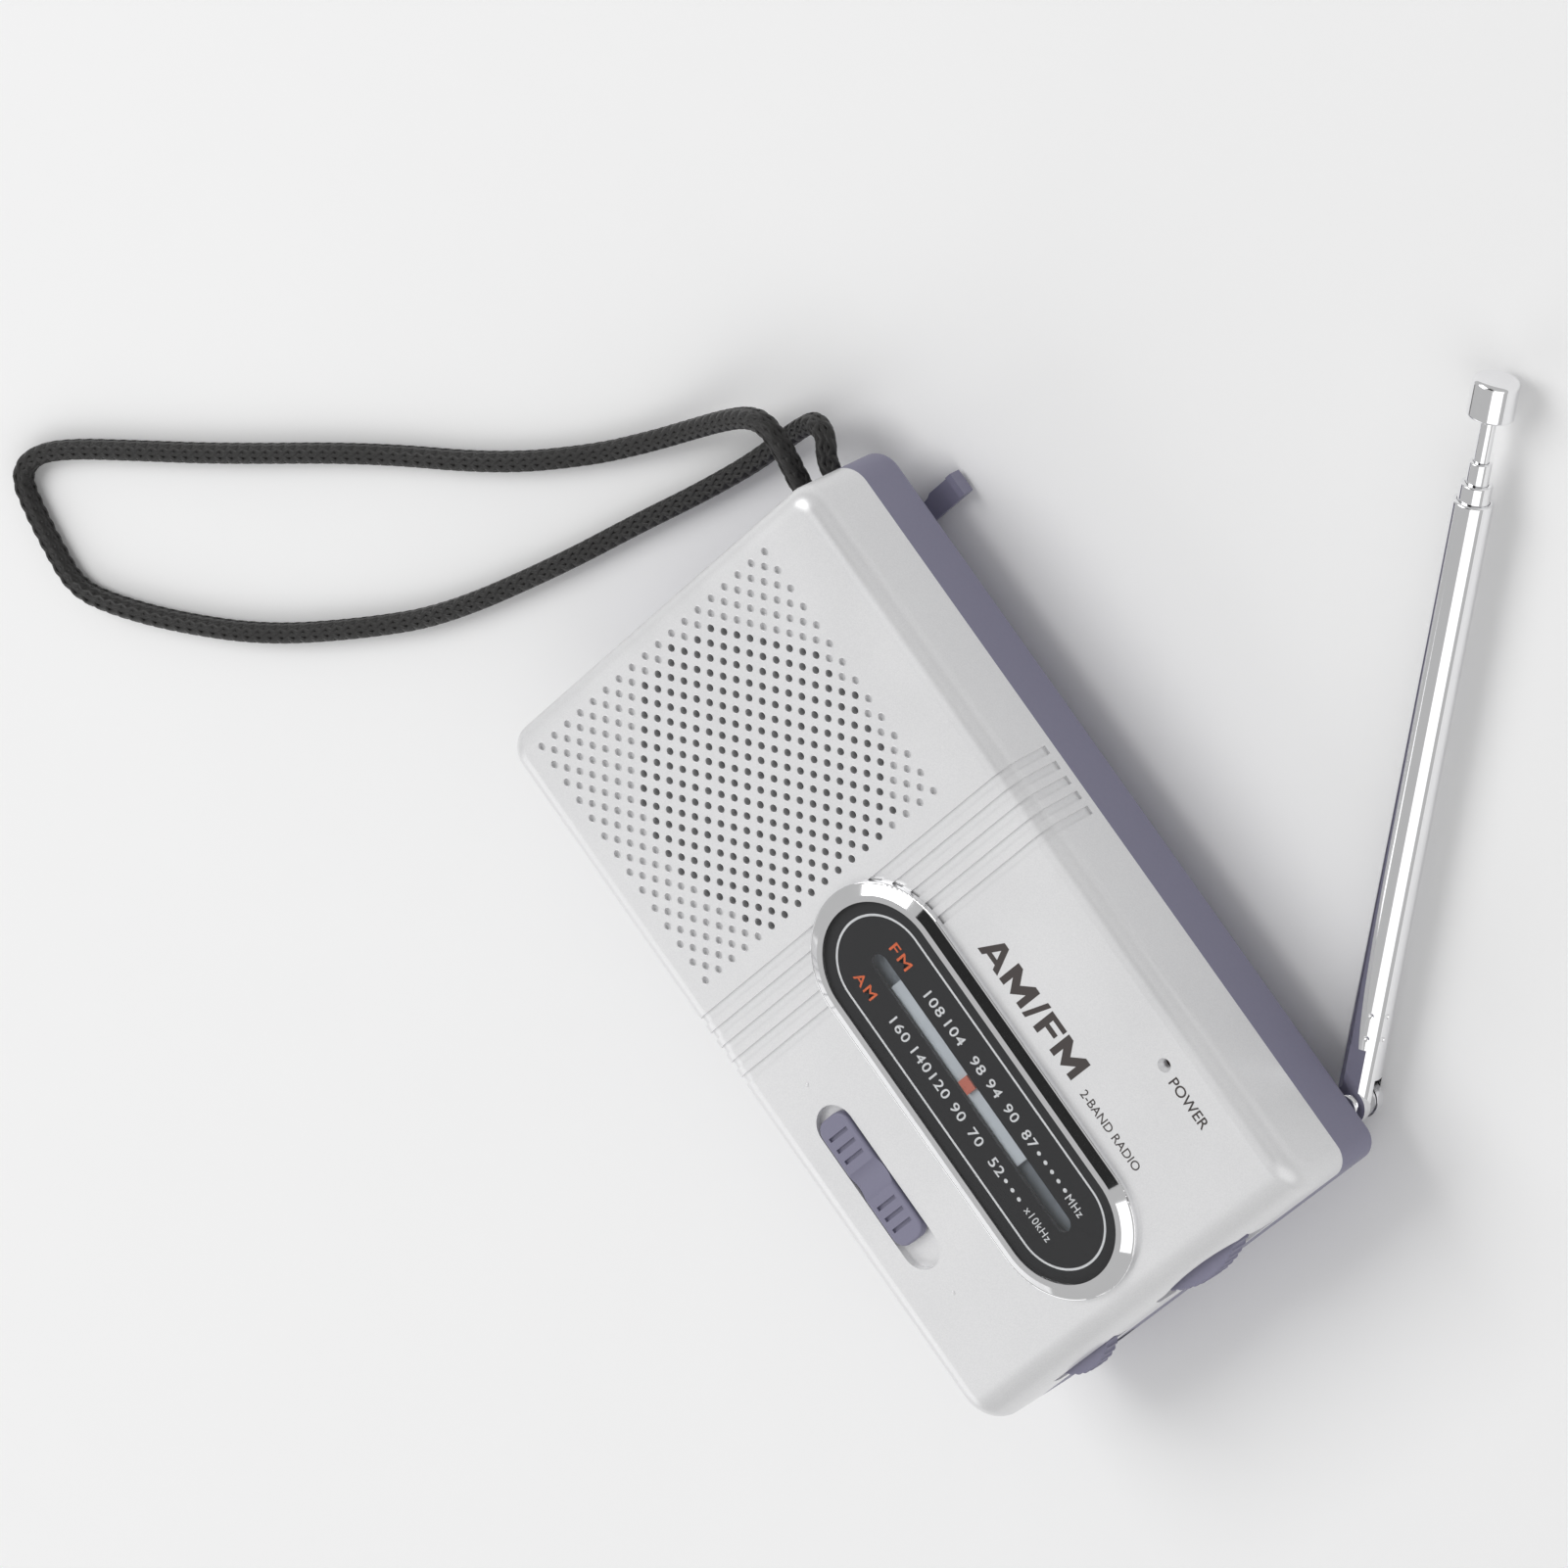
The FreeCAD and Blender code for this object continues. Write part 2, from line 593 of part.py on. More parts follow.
# ---------------------------------------------------------------- wheels and controls
def knurled(x, y, z0, z1, r, teeth, depth):
    """A thumbwheel with fine grip notches round its rim."""
    wheel = disc(x, y, z0, z1, r)
    wheel = wheel.makeFillet(0.35, edges_at(wheel, z0) + edges_at(wheel, z1))
    notches = []
    for k in range(teeth):
        a = 2 * math.pi * k / teeth
        cut_r = 0.55
        notches.append(disc(x + (r + cut_r - depth) * math.cos(a), y + (r + cut_r - depth) * math.sin(a),
                            z0 - 1, z1 + 1, cut_r))
    return wheel.cut(Part.makeCompound(notches))


def tuning_wheel():
    wheel = knurled(tune_x, tune_y, tune_z0, tune_z1, tune_r, 72, 0.28)
    drum = fuse([disc(tune_x, tune_y, tune_z1 - 0.1, cord_z - 0.4, drum_r + 0.6),
                 disc(tune_x, tune_y, cord_z - 0.5, drum_z1, drum_r - hair),
                 disc(tune_x, tune_y, cord_z + 0.4, drum_z1, drum_r + 0.3)])
    wheel = fuse([wheel, drum])
    return wheel.cut(disc(tune_x, tune_y, tune_z0 - 1, drum_z1 + 1, shaft_r))


def tuning_capacitor():
    """Film-dielectric tuning capacitor under the board, with a collar for the wheel's shaft."""
    half = 9.0
    depth = pcb_z - (band_z + wall + 0.4)
    body = box(tune_x - half, tune_x + half, tune_y - half, tune_y + 8.0, pcb_z - depth, pcb_z)
    body = body.makeFillet(0.8, [e for e in body.Edges if e.BoundBox.ZLength > depth / 2])
    collar = disc(tune_x, tune_y, pcb_z - 0.1, tune_z0 - hair, shaft_r + 1.2)
    return fuse([body, collar]).cut(disc(tune_x, tune_y, shaft_z0 - hair, tune_z0, shaft_r + run_gap))


def tuning_shaft():
    shaft = disc(tune_x, tune_y, shaft_z0, drum_z1 - 0.1, shaft_r)
    return shaft.cut(disc(tune_x, tune_y, tune_z0 - 1, drum_z1, wheel_screw_r))


def wheel_screw(x, y, z, r):
    head = disc(x, y, z, z + 0.7, r)
    head = head.makeFillet(0.25, edges_at(head, z + 0.7))
    head = head.cut(box(x - 1.2, x + 1.2, y - 0.25, y + 0.25, z + 0.35, z + 2))
    return fuse([head, disc(x, y, z - 3.0, z + 0.1, wheel_screw_r)])


def volume_wheel():
    wheel = knurled(vol_x, vol_y, tune_z0, tune_z0 + vol_t, vol_r, 40, 0.28)
    return wheel.cut(disc(vol_x, vol_y, 0, 40, vol_post_r + run_gap))


def volume_control():
    body = box(vol_x - 6.2, right_x - wall - 0.6, vol_y - 5.7, vol_y + 5.7, pcb_top, tune_z0 - hair)
    post = disc(vol_x, vol_y, pcb_top, tune_z0 + vol_t + 0.3, vol_post_r)
    return fuse([body, post]).cut(disc(vol_x, vol_y, tune_z0, tune_z0 + 5, wheel_screw_r))


def band_knob():
    """Low slider: rounded plan, six finger ribs and an arched hollow in the middle."""
    z0 = face_z - sw_depth + hair
    z1 = face_z + knob_rise
    half = knob_w / 2
    knob = rounded(knob_x0, knob_x1, sw_y - half, sw_y + half, z0, z1, knob_corner_r, knob_corner_r)
    knob = knob.makeFillet(0.35, edges_at(knob, z1))
    mid = (knob_x0 + knob_x1) / 2
    arch = Part.makeCylinder(4.0, knob_w + 2, V(mid, sw_y - half - 1, z1 + 3.35), V(0, 1, 0))
    knob = knob.cut(arch)
    cuts = []
    for way in (-1, 1):
        for k in range(3):
            x = mid + way * (3.9 + 1.85 * k)
            cuts.append(box(x - 0.3, x + 0.3, sw_y - half + 1.0, sw_y + half - 1.0, z1 - 0.4, z1 + 1))
    knob = knob.cut(Part.makeCompound(cuts))
    stem = box(stem_x - stem_len / 2, stem_x + stem_len / 2, sw_y - stem_w / 2, sw_y + stem_w / 2,
               pcb_top + 5.6, z0 + 0.1)
    knob = fuse([knob, stem])
    return knob.cut(box(stem_x - 1.5, stem_x + 1.5, sw_y - 0.7, sw_y + 0.7, 0, pcb_top + 6.9))


def switch_slider():
    """The switch's own actuator, held in the knob's stem."""
    lever = box(stem_x - 1.5, stem_x + 1.5, sw_y - 0.7, sw_y + 0.7, pcb_top + 3.2, pcb_top + 6.9)
    foot = box(stem_x - 3.0, stem_x + 3.0, sw_y - 1.4, sw_y + 1.4, pcb_top + 1.6, pcb_top + 3.3)
    return fuse([lever, foot])


def switch_body():
    x0 = stem_x - 6.0
    x1 = stem_x + 6.0 + switch_travel
    body = box(x0, x1, sw_y - 3.1, sw_y + 3.1, pcb_top, pcb_top + 5.0)
    body = body.cut(box(stem_x - 3.0 - hair, stem_x + 3.0 + switch_travel + hair, sw_y - 1.4 - hair,
                        sw_y + 1.4 + hair, pcb_top + 1.6 - hair, pcb_top + 3.3 + hair))
    return body.cut(box(stem_x - 1.5 - hair, stem_x + 1.5 + switch_travel + hair, sw_y - 0.7 - hair,
                        sw_y + 0.7 + hair, pcb_top + 3, pcb_top + 6))


def power_led():
    lens = disc(led_x, led_y, pcb_top + 2.2, inner_z - 0.4, 1.5)
    dome = Part.makeSphere(1.5, V(led_x, led_y, inner_z - 0.4)).common(
        disc(led_x, led_y, inner_z - 0.5, inner_z, 1.6))
    legs = [disc(led_x + dx, led_y, pcb_top, pcb_top + 2.3, 0.25) for dx in (-0.7, 0.7)]
    return fuse([lens, dome] + legs)


# ---------------------------------------------------------------- speaker
def cone_solid(x, y, z0, z1, r0, r1):
    return Part.makeCone(r0, r1, z1 - z0, V(x, y, z0), UP)


def speaker_gasket():
    return tube(spk_x, spk_y, spk_top, inner_z, spk_r - 0.3, spk_cone_r + 0.4)


def speaker_basket():
    flange = tube(spk_x, spk_y, spk_top - 1.0, spk_top, spk_r, spk_cone_r + 0.3)
    wall_out = cone_solid(spk_x, spk_y, mag_z1, spk_top - 0.9, mag_r + 0.8, spk_cone_r + 1.4)
    wall_in = cone_solid(spk_x, spk_y, mag_z1 + 0.8, spk_top - 0.9, mag_r + 0.2, spk_cone_r + 0.6)
    hub_hole = disc(spk_x, spk_y, 0, mag_z1 + 1, 5.0)
    basket = fuse([flange, wall_out.cut(wall_in).cut(hub_hole)])
    vents = []
    for k in range(4):
        vent = box(17.5, 30, -5, 5, mag_z1 + 1.5, spk_top - 3.5)
        vent.rotate(V(0, 0, 0), UP, 45 + 90 * k)
        vent.translate(V(spk_x, spk_y, 0))
        vents.append(vent)
    return basket.cut(Part.makeCompound(vents))


def speaker_magnet():
    ring = disc(spk_x, spk_y, mag_z0 + 1.2, mag_z1, mag_r)
    plate = disc(spk_x, spk_y, mag_z0, mag_z0 + 1.2, mag_r - 1.0)
    pole = disc(spk_x, spk_y, mag_z0 + 1, mag_z1 + 1.8, 4.0)
    return fuse([ring, plate, pole])


def speaker_cone():
    """Paper cone with its centre cap, clear of the basket."""
    rim = spk_top - 0.4
    outer = cone_solid(spk_x, spk_y, mag_z1 + 4.0, rim, 6.0, spk_cone_r)
    inner = cone_solid(spk_x, spk_y, mag_z1 + 4.4, rim + 0.4, 6.0, spk_cone_r)
    cap = Part.makeSphere(7.5, V(spk_x, spk_y, mag_z1 + 1.0))
    cap = cap.cut(Part.makeSphere(7.1, V(spk_x, spk_y, mag_z1 + 1.0)))
    cap = cap.common(disc(spk_x, spk_y, mag_z1 + 4.2, mag_z1 + 12.0, 7.2))
    coil = tube(spk_x, spk_y, mag_z1 + 2.2, mag_z1 + 5.4, 4.9, 4.5)
    floor = tube(spk_x, spk_y, mag_z1 + 4.0, mag_z1 + 4.5, 6.4, 4.6)
    return fuse([outer.cut(inner), cap, coil, floor])


# ---------------------------------------------------------------- board and its parts
def circuit_board():
    y0 = low_y + wall + pcb_gap
    y1 = top_y - wall - pcb_gap
    board = box(pcb_x0, pcb_x1, y0, y1, pcb_z, pcb_top)
    cuts = []
    for x, y in boss_places():
        notch = boss_r + boss_rim
        way = math.copysign(1, y)
        if x > 0:
            cuts.append(box(x - notch, x + 12, min(y - way * notch, y + way * 12),
                            max(y - way * notch, y + way * 12), 0, 40))
    for x, y in pcb_posts():
        cuts.append(disc(x, y, 0, 40, 1.1))
    cuts.append(disc(tune_x, tune_y, 0, 40, shaft_r + 1.3))
    return board.cut(Part.makeCompound(cuts))


def board_screws():
    screws = []
    for x, y in pcb_posts():
        head = disc(x, y, pcb_z - 1.0, pcb_z, 2.0)
        screws.append(fuse([head, disc(x, y, pcb_z - 0.1, pcb_top + 4.0, board_screw_r)]))
    return Part.makeCompound(screws)


def ferrite_rod():
    return rod_x(-3.0, 49.0, 22.6, 13.2, 3.4)


def aerial_coil():
    return rod_x(8.0, 22.0, 22.6, 13.2, 4.0).cut(rod_x(5.0, 25.0, 22.6, 13.2, 3.4))


def coil_cans():
    cans = []
    for x in (2.5, 12.0, 21.5):
        cans.append(box(x - 3.5, x + 3.5, 2.0, 9.0, pcb_z - 7.5, pcb_z))
    return Part.makeCompound(cans)


def radio_chip():
    return box(25.5, 32.5, 9.5, 20.5 - 3.0, pcb_z - 2.2, pcb_z)


def smoothing_capacitors():
    caps = []
    for x in (1.5, 9.5, 17.0):
        can = disc(x, 13.6, pcb_z - 7.0, pcb_z, 2.6)
        caps.append(soften(can, pcb_z - 7.0, 0.5))
    return Part.makeCompound(caps)


def earphone_jack():
    x0 = right_x - jack_depth - 0.9
    x1 = right_x - wall - 0.3
    half = jack_body / 2
    body = box(x0, x1, jack_y - half, jack_y + half, jack_z - half, pcb_z)
    nose = rod_x(x1 - 0.1, right_x, jack_y, jack_z, jack_nose_r)
    return fuse([body, nose]).cut(rod_x(right_x - jack_depth, right_x + 1, jack_y, jack_z, jack_bore_r))


# ---------------------------------------------------------------- cells and contacts
def cell(y, way):
    """An AA cell along X; way is the side of its raised end."""
    half = (cell_len + nub_len) / 2
    can = rod_x(cell_x - half, cell_x - half + cell_len, y, cell_z, cell_r)
    can = can.makeFillet(0.4, [e for e in can.Edges if e.BoundBox.XLength < tiny])
    nub = rod_x(cell_x - half + cell_len - 0.1, cell_x + half, y, cell_z, nub_r)
    whole = fuse([can, nub])
    if way < 0:
        whole.rotate(V(cell_x, y, cell_z), UP, 180)
    return whole


def contact_spring(x, y, way):
    """Tapering turns of wire between the end plate and a cell's flat end."""
    turns = []
    x = x + way * 0.4
    gap = (bay_len - cell_len - nub_len) / 2 - 0.5
    count = 4
    for k in range(count):
        r = 3.8 - 0.55 * k
        reach = 0.35 + (gap - 0.7) * k / (count - 1)
        turns.append(Part.makeTorus(r, 0.35, V(x + way * reach, y, cell_z), V(1, 0, 0)))
    return turns


def end_contacts(x, way, button_y, plates):
    """Contact plates at one end of the bay, with the bump that meets a cell's raised end."""
    t = 0.4
    x0 = x if way > 0 else x - t
    reach = (bay_len - cell_len - nub_len) / 2 - t
    bump = Part.makeCylinder(2.2, reach, V(x + way * t, button_y, cell_z), V(way, 0, 0))
    pieces = []
    for y0, y1 in plates:
        plate = box(x0, x0 + t, y0, y1, cell_z - 5, cell_z + 1.6)
        pieces.append(fuse([plate, bump]) if y0 < button_y < y1 else plate)
    return Part.makeCompound(pieces)


# ---------------------------------------------------------------- antenna
def along(distance):
    a = math.radians(ant_angle)
    return V(pivot_x + distance * math.cos(a), pivot_y + distance * math.sin(a), pivot_z)


def ant_way():
    a = math.radians(ant_angle)
    return V(math.cos(a), math.sin(a), 0)


def ant_bar(s0, s1, r):
    return Part.makeCylinder(r, s1 - s0, along(s0), ant_way())


def antenna_lug():
    """Flat tab through the cover's wall, screwed down inside."""
    z0 = pivot_z - lug_t / 2
    z1 = pivot_z + lug_t / 2
    tab = fuse([box(pivot_x - lug_r, pivot_x + 3.0, deep_y1 - 9.0, deep_y1, z0, z1),
                box(pivot_x - lug_r, pivot_x + lug_r, deep_y1, pivot_y, z0, z1),
                disc(pivot_x, pivot_y, z0, z1, lug_r)])
    tab = tab.cut(disc(pivot_x, pivot_y, 0, 10, rivet_r + run_gap))
    return tab.cut(disc(pivot_x, deep_y1 - 5.2, 0, 10, 1.2))


def lug_screw():
    y = deep_y1 - 5.2
    z = pivot_z + lug_t / 2
    head = disc(pivot_x, y, z, z + 1.3, 2.2)
    head = head.makeFillet(0.5, edges_at(head, z + 1.3))
    return fuse([head, disc(pivot_x, y, wall + 0.2, z + 0.1, 0.9)])


def antenna_fork():
    bar = ant_bar(0, tube1_from, fork_r)
    end = Part.makeCylinder(fork_r, 2 * fork_r, V(pivot_x, pivot_y, pivot_z - fork_r), UP)
    fork = fuse([bar, end])
    slab = Part.makeBox(60, 60, 2 * fork_flat, V(pivot_x - 30, pivot_y - 30, pivot_z - fork_flat))
    fork = fork.common(slab)
    half = lug_t / 2 + 0.15
    slot = Part.makeBox(fork_slot_end + 10, 20, 2 * half, V(-10, -10, -half))
    slot.rotate(V(0, 0, 0), UP, ant_angle)
    slot.translate(V(pivot_x, pivot_y, pivot_z))
    fork = fork.cut(slot).cut(disc(pivot_x, pivot_y, -5, 15, rivet_r))
    return fuse([fork, ant_bar(tube1_from - 0.1, tube1_from + fork_plug, tube1_bore)])


def antenna_rivet():
    z0 = pivot_z - fork_flat
    z1 = pivot_z + fork_flat
    shank = disc(pivot_x, pivot_y, z0, z1, rivet_r)
    top = disc(pivot_x, pivot_y, z1, z1 + 0.5, rivet_head_r)
    top = top.makeFillet(0.35, edges_at(top, z1 + 0.5))
    bottom = disc(pivot_x, pivot_y, z0 - 0.5, z0, rivet_head_r)
    bottom = bottom.makeFillet(0.35, edges_at(bottom, z0 - 0.5))
    return fuse([shank, top, bottom])


def telescope(s0, s1, r, bore, lip_bore, foot_r):
    """A tube with a closed-in mouth, and a wider foot that keeps it in the tube outside it."""
    body = [ant_bar(s0, s1, r)]
    if foot_r:
        body.append(ant_bar(s0, s0 + foot_len, foot_r))
    shape = fuse(body)
    shape = shape.cut(ant_bar(s0 - 1, s1 - crimp_len, bore))
    return shape.cut(ant_bar(s1 - crimp_len - 1, s1 + 1, lip_bore))


def rounded_mouth(shape, s, r, soft):
    """Soften the outer edge at the far end of a tube."""
    mouth = along(s)
    edges = [e for e in shape.Edges if e.Curve.TypeId == "Part::GeomCircle" and abs(e.Curve.Radius - r) < tiny
             and e.Curve.Center.distanceToPoint(mouth) < tiny]
    return shape.makeFillet(soft, edges)


def antenna_tube_1():
    shape = telescope(tube1_from, tube1_to, tube1_r, tube1_bore, tube2_r + run_gap, 0)
    shape = rounded_mouth(shape, tube1_to, tube1_r, 0.3)
    side = ant_way().cross(UP)
    marks = []
    for s in (tube1_from + 1.8, tube1_from + 5.3):
        for turn in (21.0, 68.0):
            a = math.radians(turn)
            out = UP * math.cos(a) + side * math.sin(a)
            marks.append(Part.makeSphere(0.6, along(s) + out * (tube1_r + 0.42)))
    return shape.cut(Part.makeCompound(marks))


def antenna_tube_2():
    return rounded_mouth(telescope(tube2_from, tube2_to, tube2_r, tube3_r + 0.2, tube3_r + run_gap,
                                   tube1_bore - run_gap), tube2_to, tube2_r, 0.25)


def antenna_tube_3():
    return rounded_mouth(telescope(tube3_from, tube3_to, tube3_r, rod_r + 0.2, rod_r + run_gap,
                                   tube3_r + 0.2 - run_gap), tube3_to, tube3_r, 0.2)


def antenna_rod():
    foot = ant_bar(rod_from, rod_from + foot_len, rod_r + 0.2 - run_gap)
    return fuse([ant_bar(rod_from, rod_to + 3.0, rod_r), foot])


def antenna_tip():
    tip = ant_bar(rod_to, rod_to + tip_len, tip_r)
    tip = rounded_mouth(tip, rod_to + tip_len, tip_r, 0.8)
    tip = rounded_mouth(tip, rod_to, tip_r, 0.3)
    return tip.cut(ant_bar(rod_to - 1, rod_to + 3.0, rod_r))


# ---------------------------------------------------------------- wrist cord
def rounded_route(points):
    """Straight runs joined by tangent arcs, each as large as its two runs allow."""
    pts = [V(*p) for p in points]
    edges = []
    radii = []
    length = 0.0
    here = pts[0]
    for before, corner, after in zip(pts, pts[1:], pts[2:]):
        a = (before - corner).normalize()
        b = (after - corner).normalize()
        half_turn = (math.pi - a.getAngle(b)) / 2
        reach = 0.45 * min((before - corner).Length, (after - corner).Length)
        radius = reach / math.tan(half_turn)
        start = corner + a * reach
        end = corner + b * reach
        middle = corner + (a + b).normalize() * (math.hypot(radius, reach) - radius)
        edges.append(Part.LineSegment(here, start).toShape())
        edges.append(Part.Arc(start, middle, end).toShape())
        length += (start - here).Length + 2 * half_turn * radius
        radii.append(round(radius, 1))
        here = end
    edges.append(Part.LineSegment(here, pts[-1]).toShape())
    length += (pts[-1] - here).Length
    return Part.Wire(edges), radii, length


def wrist_cord():
    route, radii, length = rounded_route(cord_points)
    start = V(*cord_points[0])
    way = V(*cord_points[1]) - start
    section = Part.Wire(Part.Circle(start, way, cord_r).toShape())
    cord = route.makePipeShell([section], True, False)
    print("cord length %.1f, radii %s" % (length, radii))
    print("cord volume ratio %.4f" % (cord.Volume / (math.pi * cord_r ** 2 * length)))
    return cord


def cord_anchor():
    """Block inside the end wall that holds both ends of the wrist cord."""
    x0 = left_x + wall
    block = box(x0, x0 + anchor_t, cord_points[0][1] - 2.4, cord_points[-1][1] + 2.0,
                band_z + wall, seam_z - lip_h - 0.2)
    return block.cut(Part.makeCompound(cord_bores()))


# ---------------------------------------------------------------- build
def main():
    os.makedirs("parts", exist_ok=True)
    save("front_shell", front_shell())
    save("back_cover", back_cover())
    save("battery_door", battery_door())
    save("case_screws", case_screws())
    save("dial_bezel", dial_bezel())
    save("dial_scale", dial_scale())
    save("dial_lens", dial_lens())
    save("pointer_strip", pointer_strip())
    save("pointer_mark", pointer_mark())
    save("pointer_guide", pointer_guide())
    save("dial_cord", dial_cord())
    save("dial_cord_post", cord_post())
    save("tuning_wheel", tuning_wheel())
    save("tuning_capacitor", tuning_capacitor())
    save("tuning_shaft", tuning_shaft())
    save("tuning_wheel_screw", wheel_screw(tune_x, tune_y, drum_z1, shaft_r + 0.9))
    save("volume_wheel", volume_wheel())
    save("volume_control", volume_control())
    save("volume_wheel_screw", wheel_screw(vol_x, vol_y, tune_z0 + vol_t + 0.3, vol_post_r + 0.8))
    save("band_knob", band_knob())
    save("band_switch_slider", switch_slider())
    save("band_switch_body", switch_body())
    save("power_led", power_led())
    save("speaker_gasket", speaker_gasket())
    save("speaker_basket", speaker_basket())
    save("speaker_magnet", speaker_magnet())
    save("speaker_cone", speaker_cone())
    save("circuit_board", circuit_board())
    save("board_screws", board_screws())
    save("ferrite_rod", ferrite_rod())
    save("aerial_coil", aerial_coil())
    save("coil_cans", coil_cans())
    save("radio_chip", radio_chip())
    save("smoothing_capacitors", smoothing_capacitors())
    save("earphone_jack", earphone_jack())
    save("battery_cell_low", cell(cell_y0, 1))
    save("battery_cell_high", cell(cell_y1, -1))
    low_plate = (cell_y0 - 5, cell_y0 + 5)
    high_plate = (cell_y1 - 5, cell_y1 + 5)
    save("battery_contacts_left", end_contacts(bay_x0, 1, cell_y1, [(low_plate[0], high_plate[1])]))
    save("battery_contacts_right", end_contacts(bay_x1, -1, cell_y0, [low_plate, high_plate]))
    springs = contact_spring(bay_x0, cell_y0, 1) + contact_spring(bay_x1, cell_y1, -1)
    save("battery_springs", Part.makeCompound(springs))
    save("antenna_lug", antenna_lug())
    save("antenna_lug_screw", lug_screw())
    save("antenna_fork", antenna_fork())
    save("antenna_rivet", antenna_rivet())
    save("antenna_tube_1", antenna_tube_1())
    save("antenna_tube_2", antenna_tube_2())
    save("antenna_tube_3", antenna_tube_3())
    save("antenna_rod", antenna_rod())
    save("antenna_tip", antenna_tip())
    save("cord_anchor", cord_anchor())
    save("wrist_cord", wrist_cord())


main()
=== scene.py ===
"""Looks of a two-band pocket radio: prints, grille rims, braided wrist cord and finishes.

Everything is in metres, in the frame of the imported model.  Millimetre values are turned with MM.
"""
import json
import logging
import math
from dataclasses import dataclass, field
from enum import Enum
from typing import Callable, Iterable, Sequence

import bpy
from mathutils import Matrix, Vector

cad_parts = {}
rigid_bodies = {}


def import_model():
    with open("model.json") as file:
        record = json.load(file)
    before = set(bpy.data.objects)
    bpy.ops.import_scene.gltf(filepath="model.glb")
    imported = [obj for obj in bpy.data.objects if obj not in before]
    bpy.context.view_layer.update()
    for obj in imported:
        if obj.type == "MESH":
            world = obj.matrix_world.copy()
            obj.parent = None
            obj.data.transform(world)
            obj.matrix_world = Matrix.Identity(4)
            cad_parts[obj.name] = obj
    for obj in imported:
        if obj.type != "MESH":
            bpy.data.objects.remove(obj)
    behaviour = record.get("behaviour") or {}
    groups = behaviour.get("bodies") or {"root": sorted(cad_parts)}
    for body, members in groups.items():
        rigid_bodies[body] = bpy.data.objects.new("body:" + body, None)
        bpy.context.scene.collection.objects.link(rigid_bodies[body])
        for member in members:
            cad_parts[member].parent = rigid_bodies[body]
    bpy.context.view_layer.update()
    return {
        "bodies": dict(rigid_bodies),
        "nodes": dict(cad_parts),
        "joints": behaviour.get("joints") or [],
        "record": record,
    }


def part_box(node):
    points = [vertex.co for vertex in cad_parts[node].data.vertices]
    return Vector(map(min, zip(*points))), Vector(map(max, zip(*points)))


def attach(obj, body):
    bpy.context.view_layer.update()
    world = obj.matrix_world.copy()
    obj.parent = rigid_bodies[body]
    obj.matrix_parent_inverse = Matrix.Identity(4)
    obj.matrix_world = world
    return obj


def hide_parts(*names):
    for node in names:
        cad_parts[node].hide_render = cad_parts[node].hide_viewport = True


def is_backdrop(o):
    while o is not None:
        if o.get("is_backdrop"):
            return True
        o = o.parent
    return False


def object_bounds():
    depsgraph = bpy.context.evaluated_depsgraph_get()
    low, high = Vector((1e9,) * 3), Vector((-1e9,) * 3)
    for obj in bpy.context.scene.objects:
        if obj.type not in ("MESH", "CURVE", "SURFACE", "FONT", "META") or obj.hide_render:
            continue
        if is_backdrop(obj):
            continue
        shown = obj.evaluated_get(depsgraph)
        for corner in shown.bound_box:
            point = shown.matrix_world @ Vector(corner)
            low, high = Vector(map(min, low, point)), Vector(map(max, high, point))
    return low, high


MM = 0.001
Point = tuple[float, float, float]
Colour = tuple[float, float, float]
log = logging.getLogger("pocket_radio")


# ------------------------------------------------------------------ finishes
class Grain(Enum):
    """How the fine pattern of a finish runs."""

    MOTTLE = "mottle"      # even moulded or cast surface
    FLAKE = "flake"        # metallic paint with fine flakes
    BRUSHED = "brushed"    # fine lines along X
    FIBRE = "fibre"        # short fibres or paper pulp


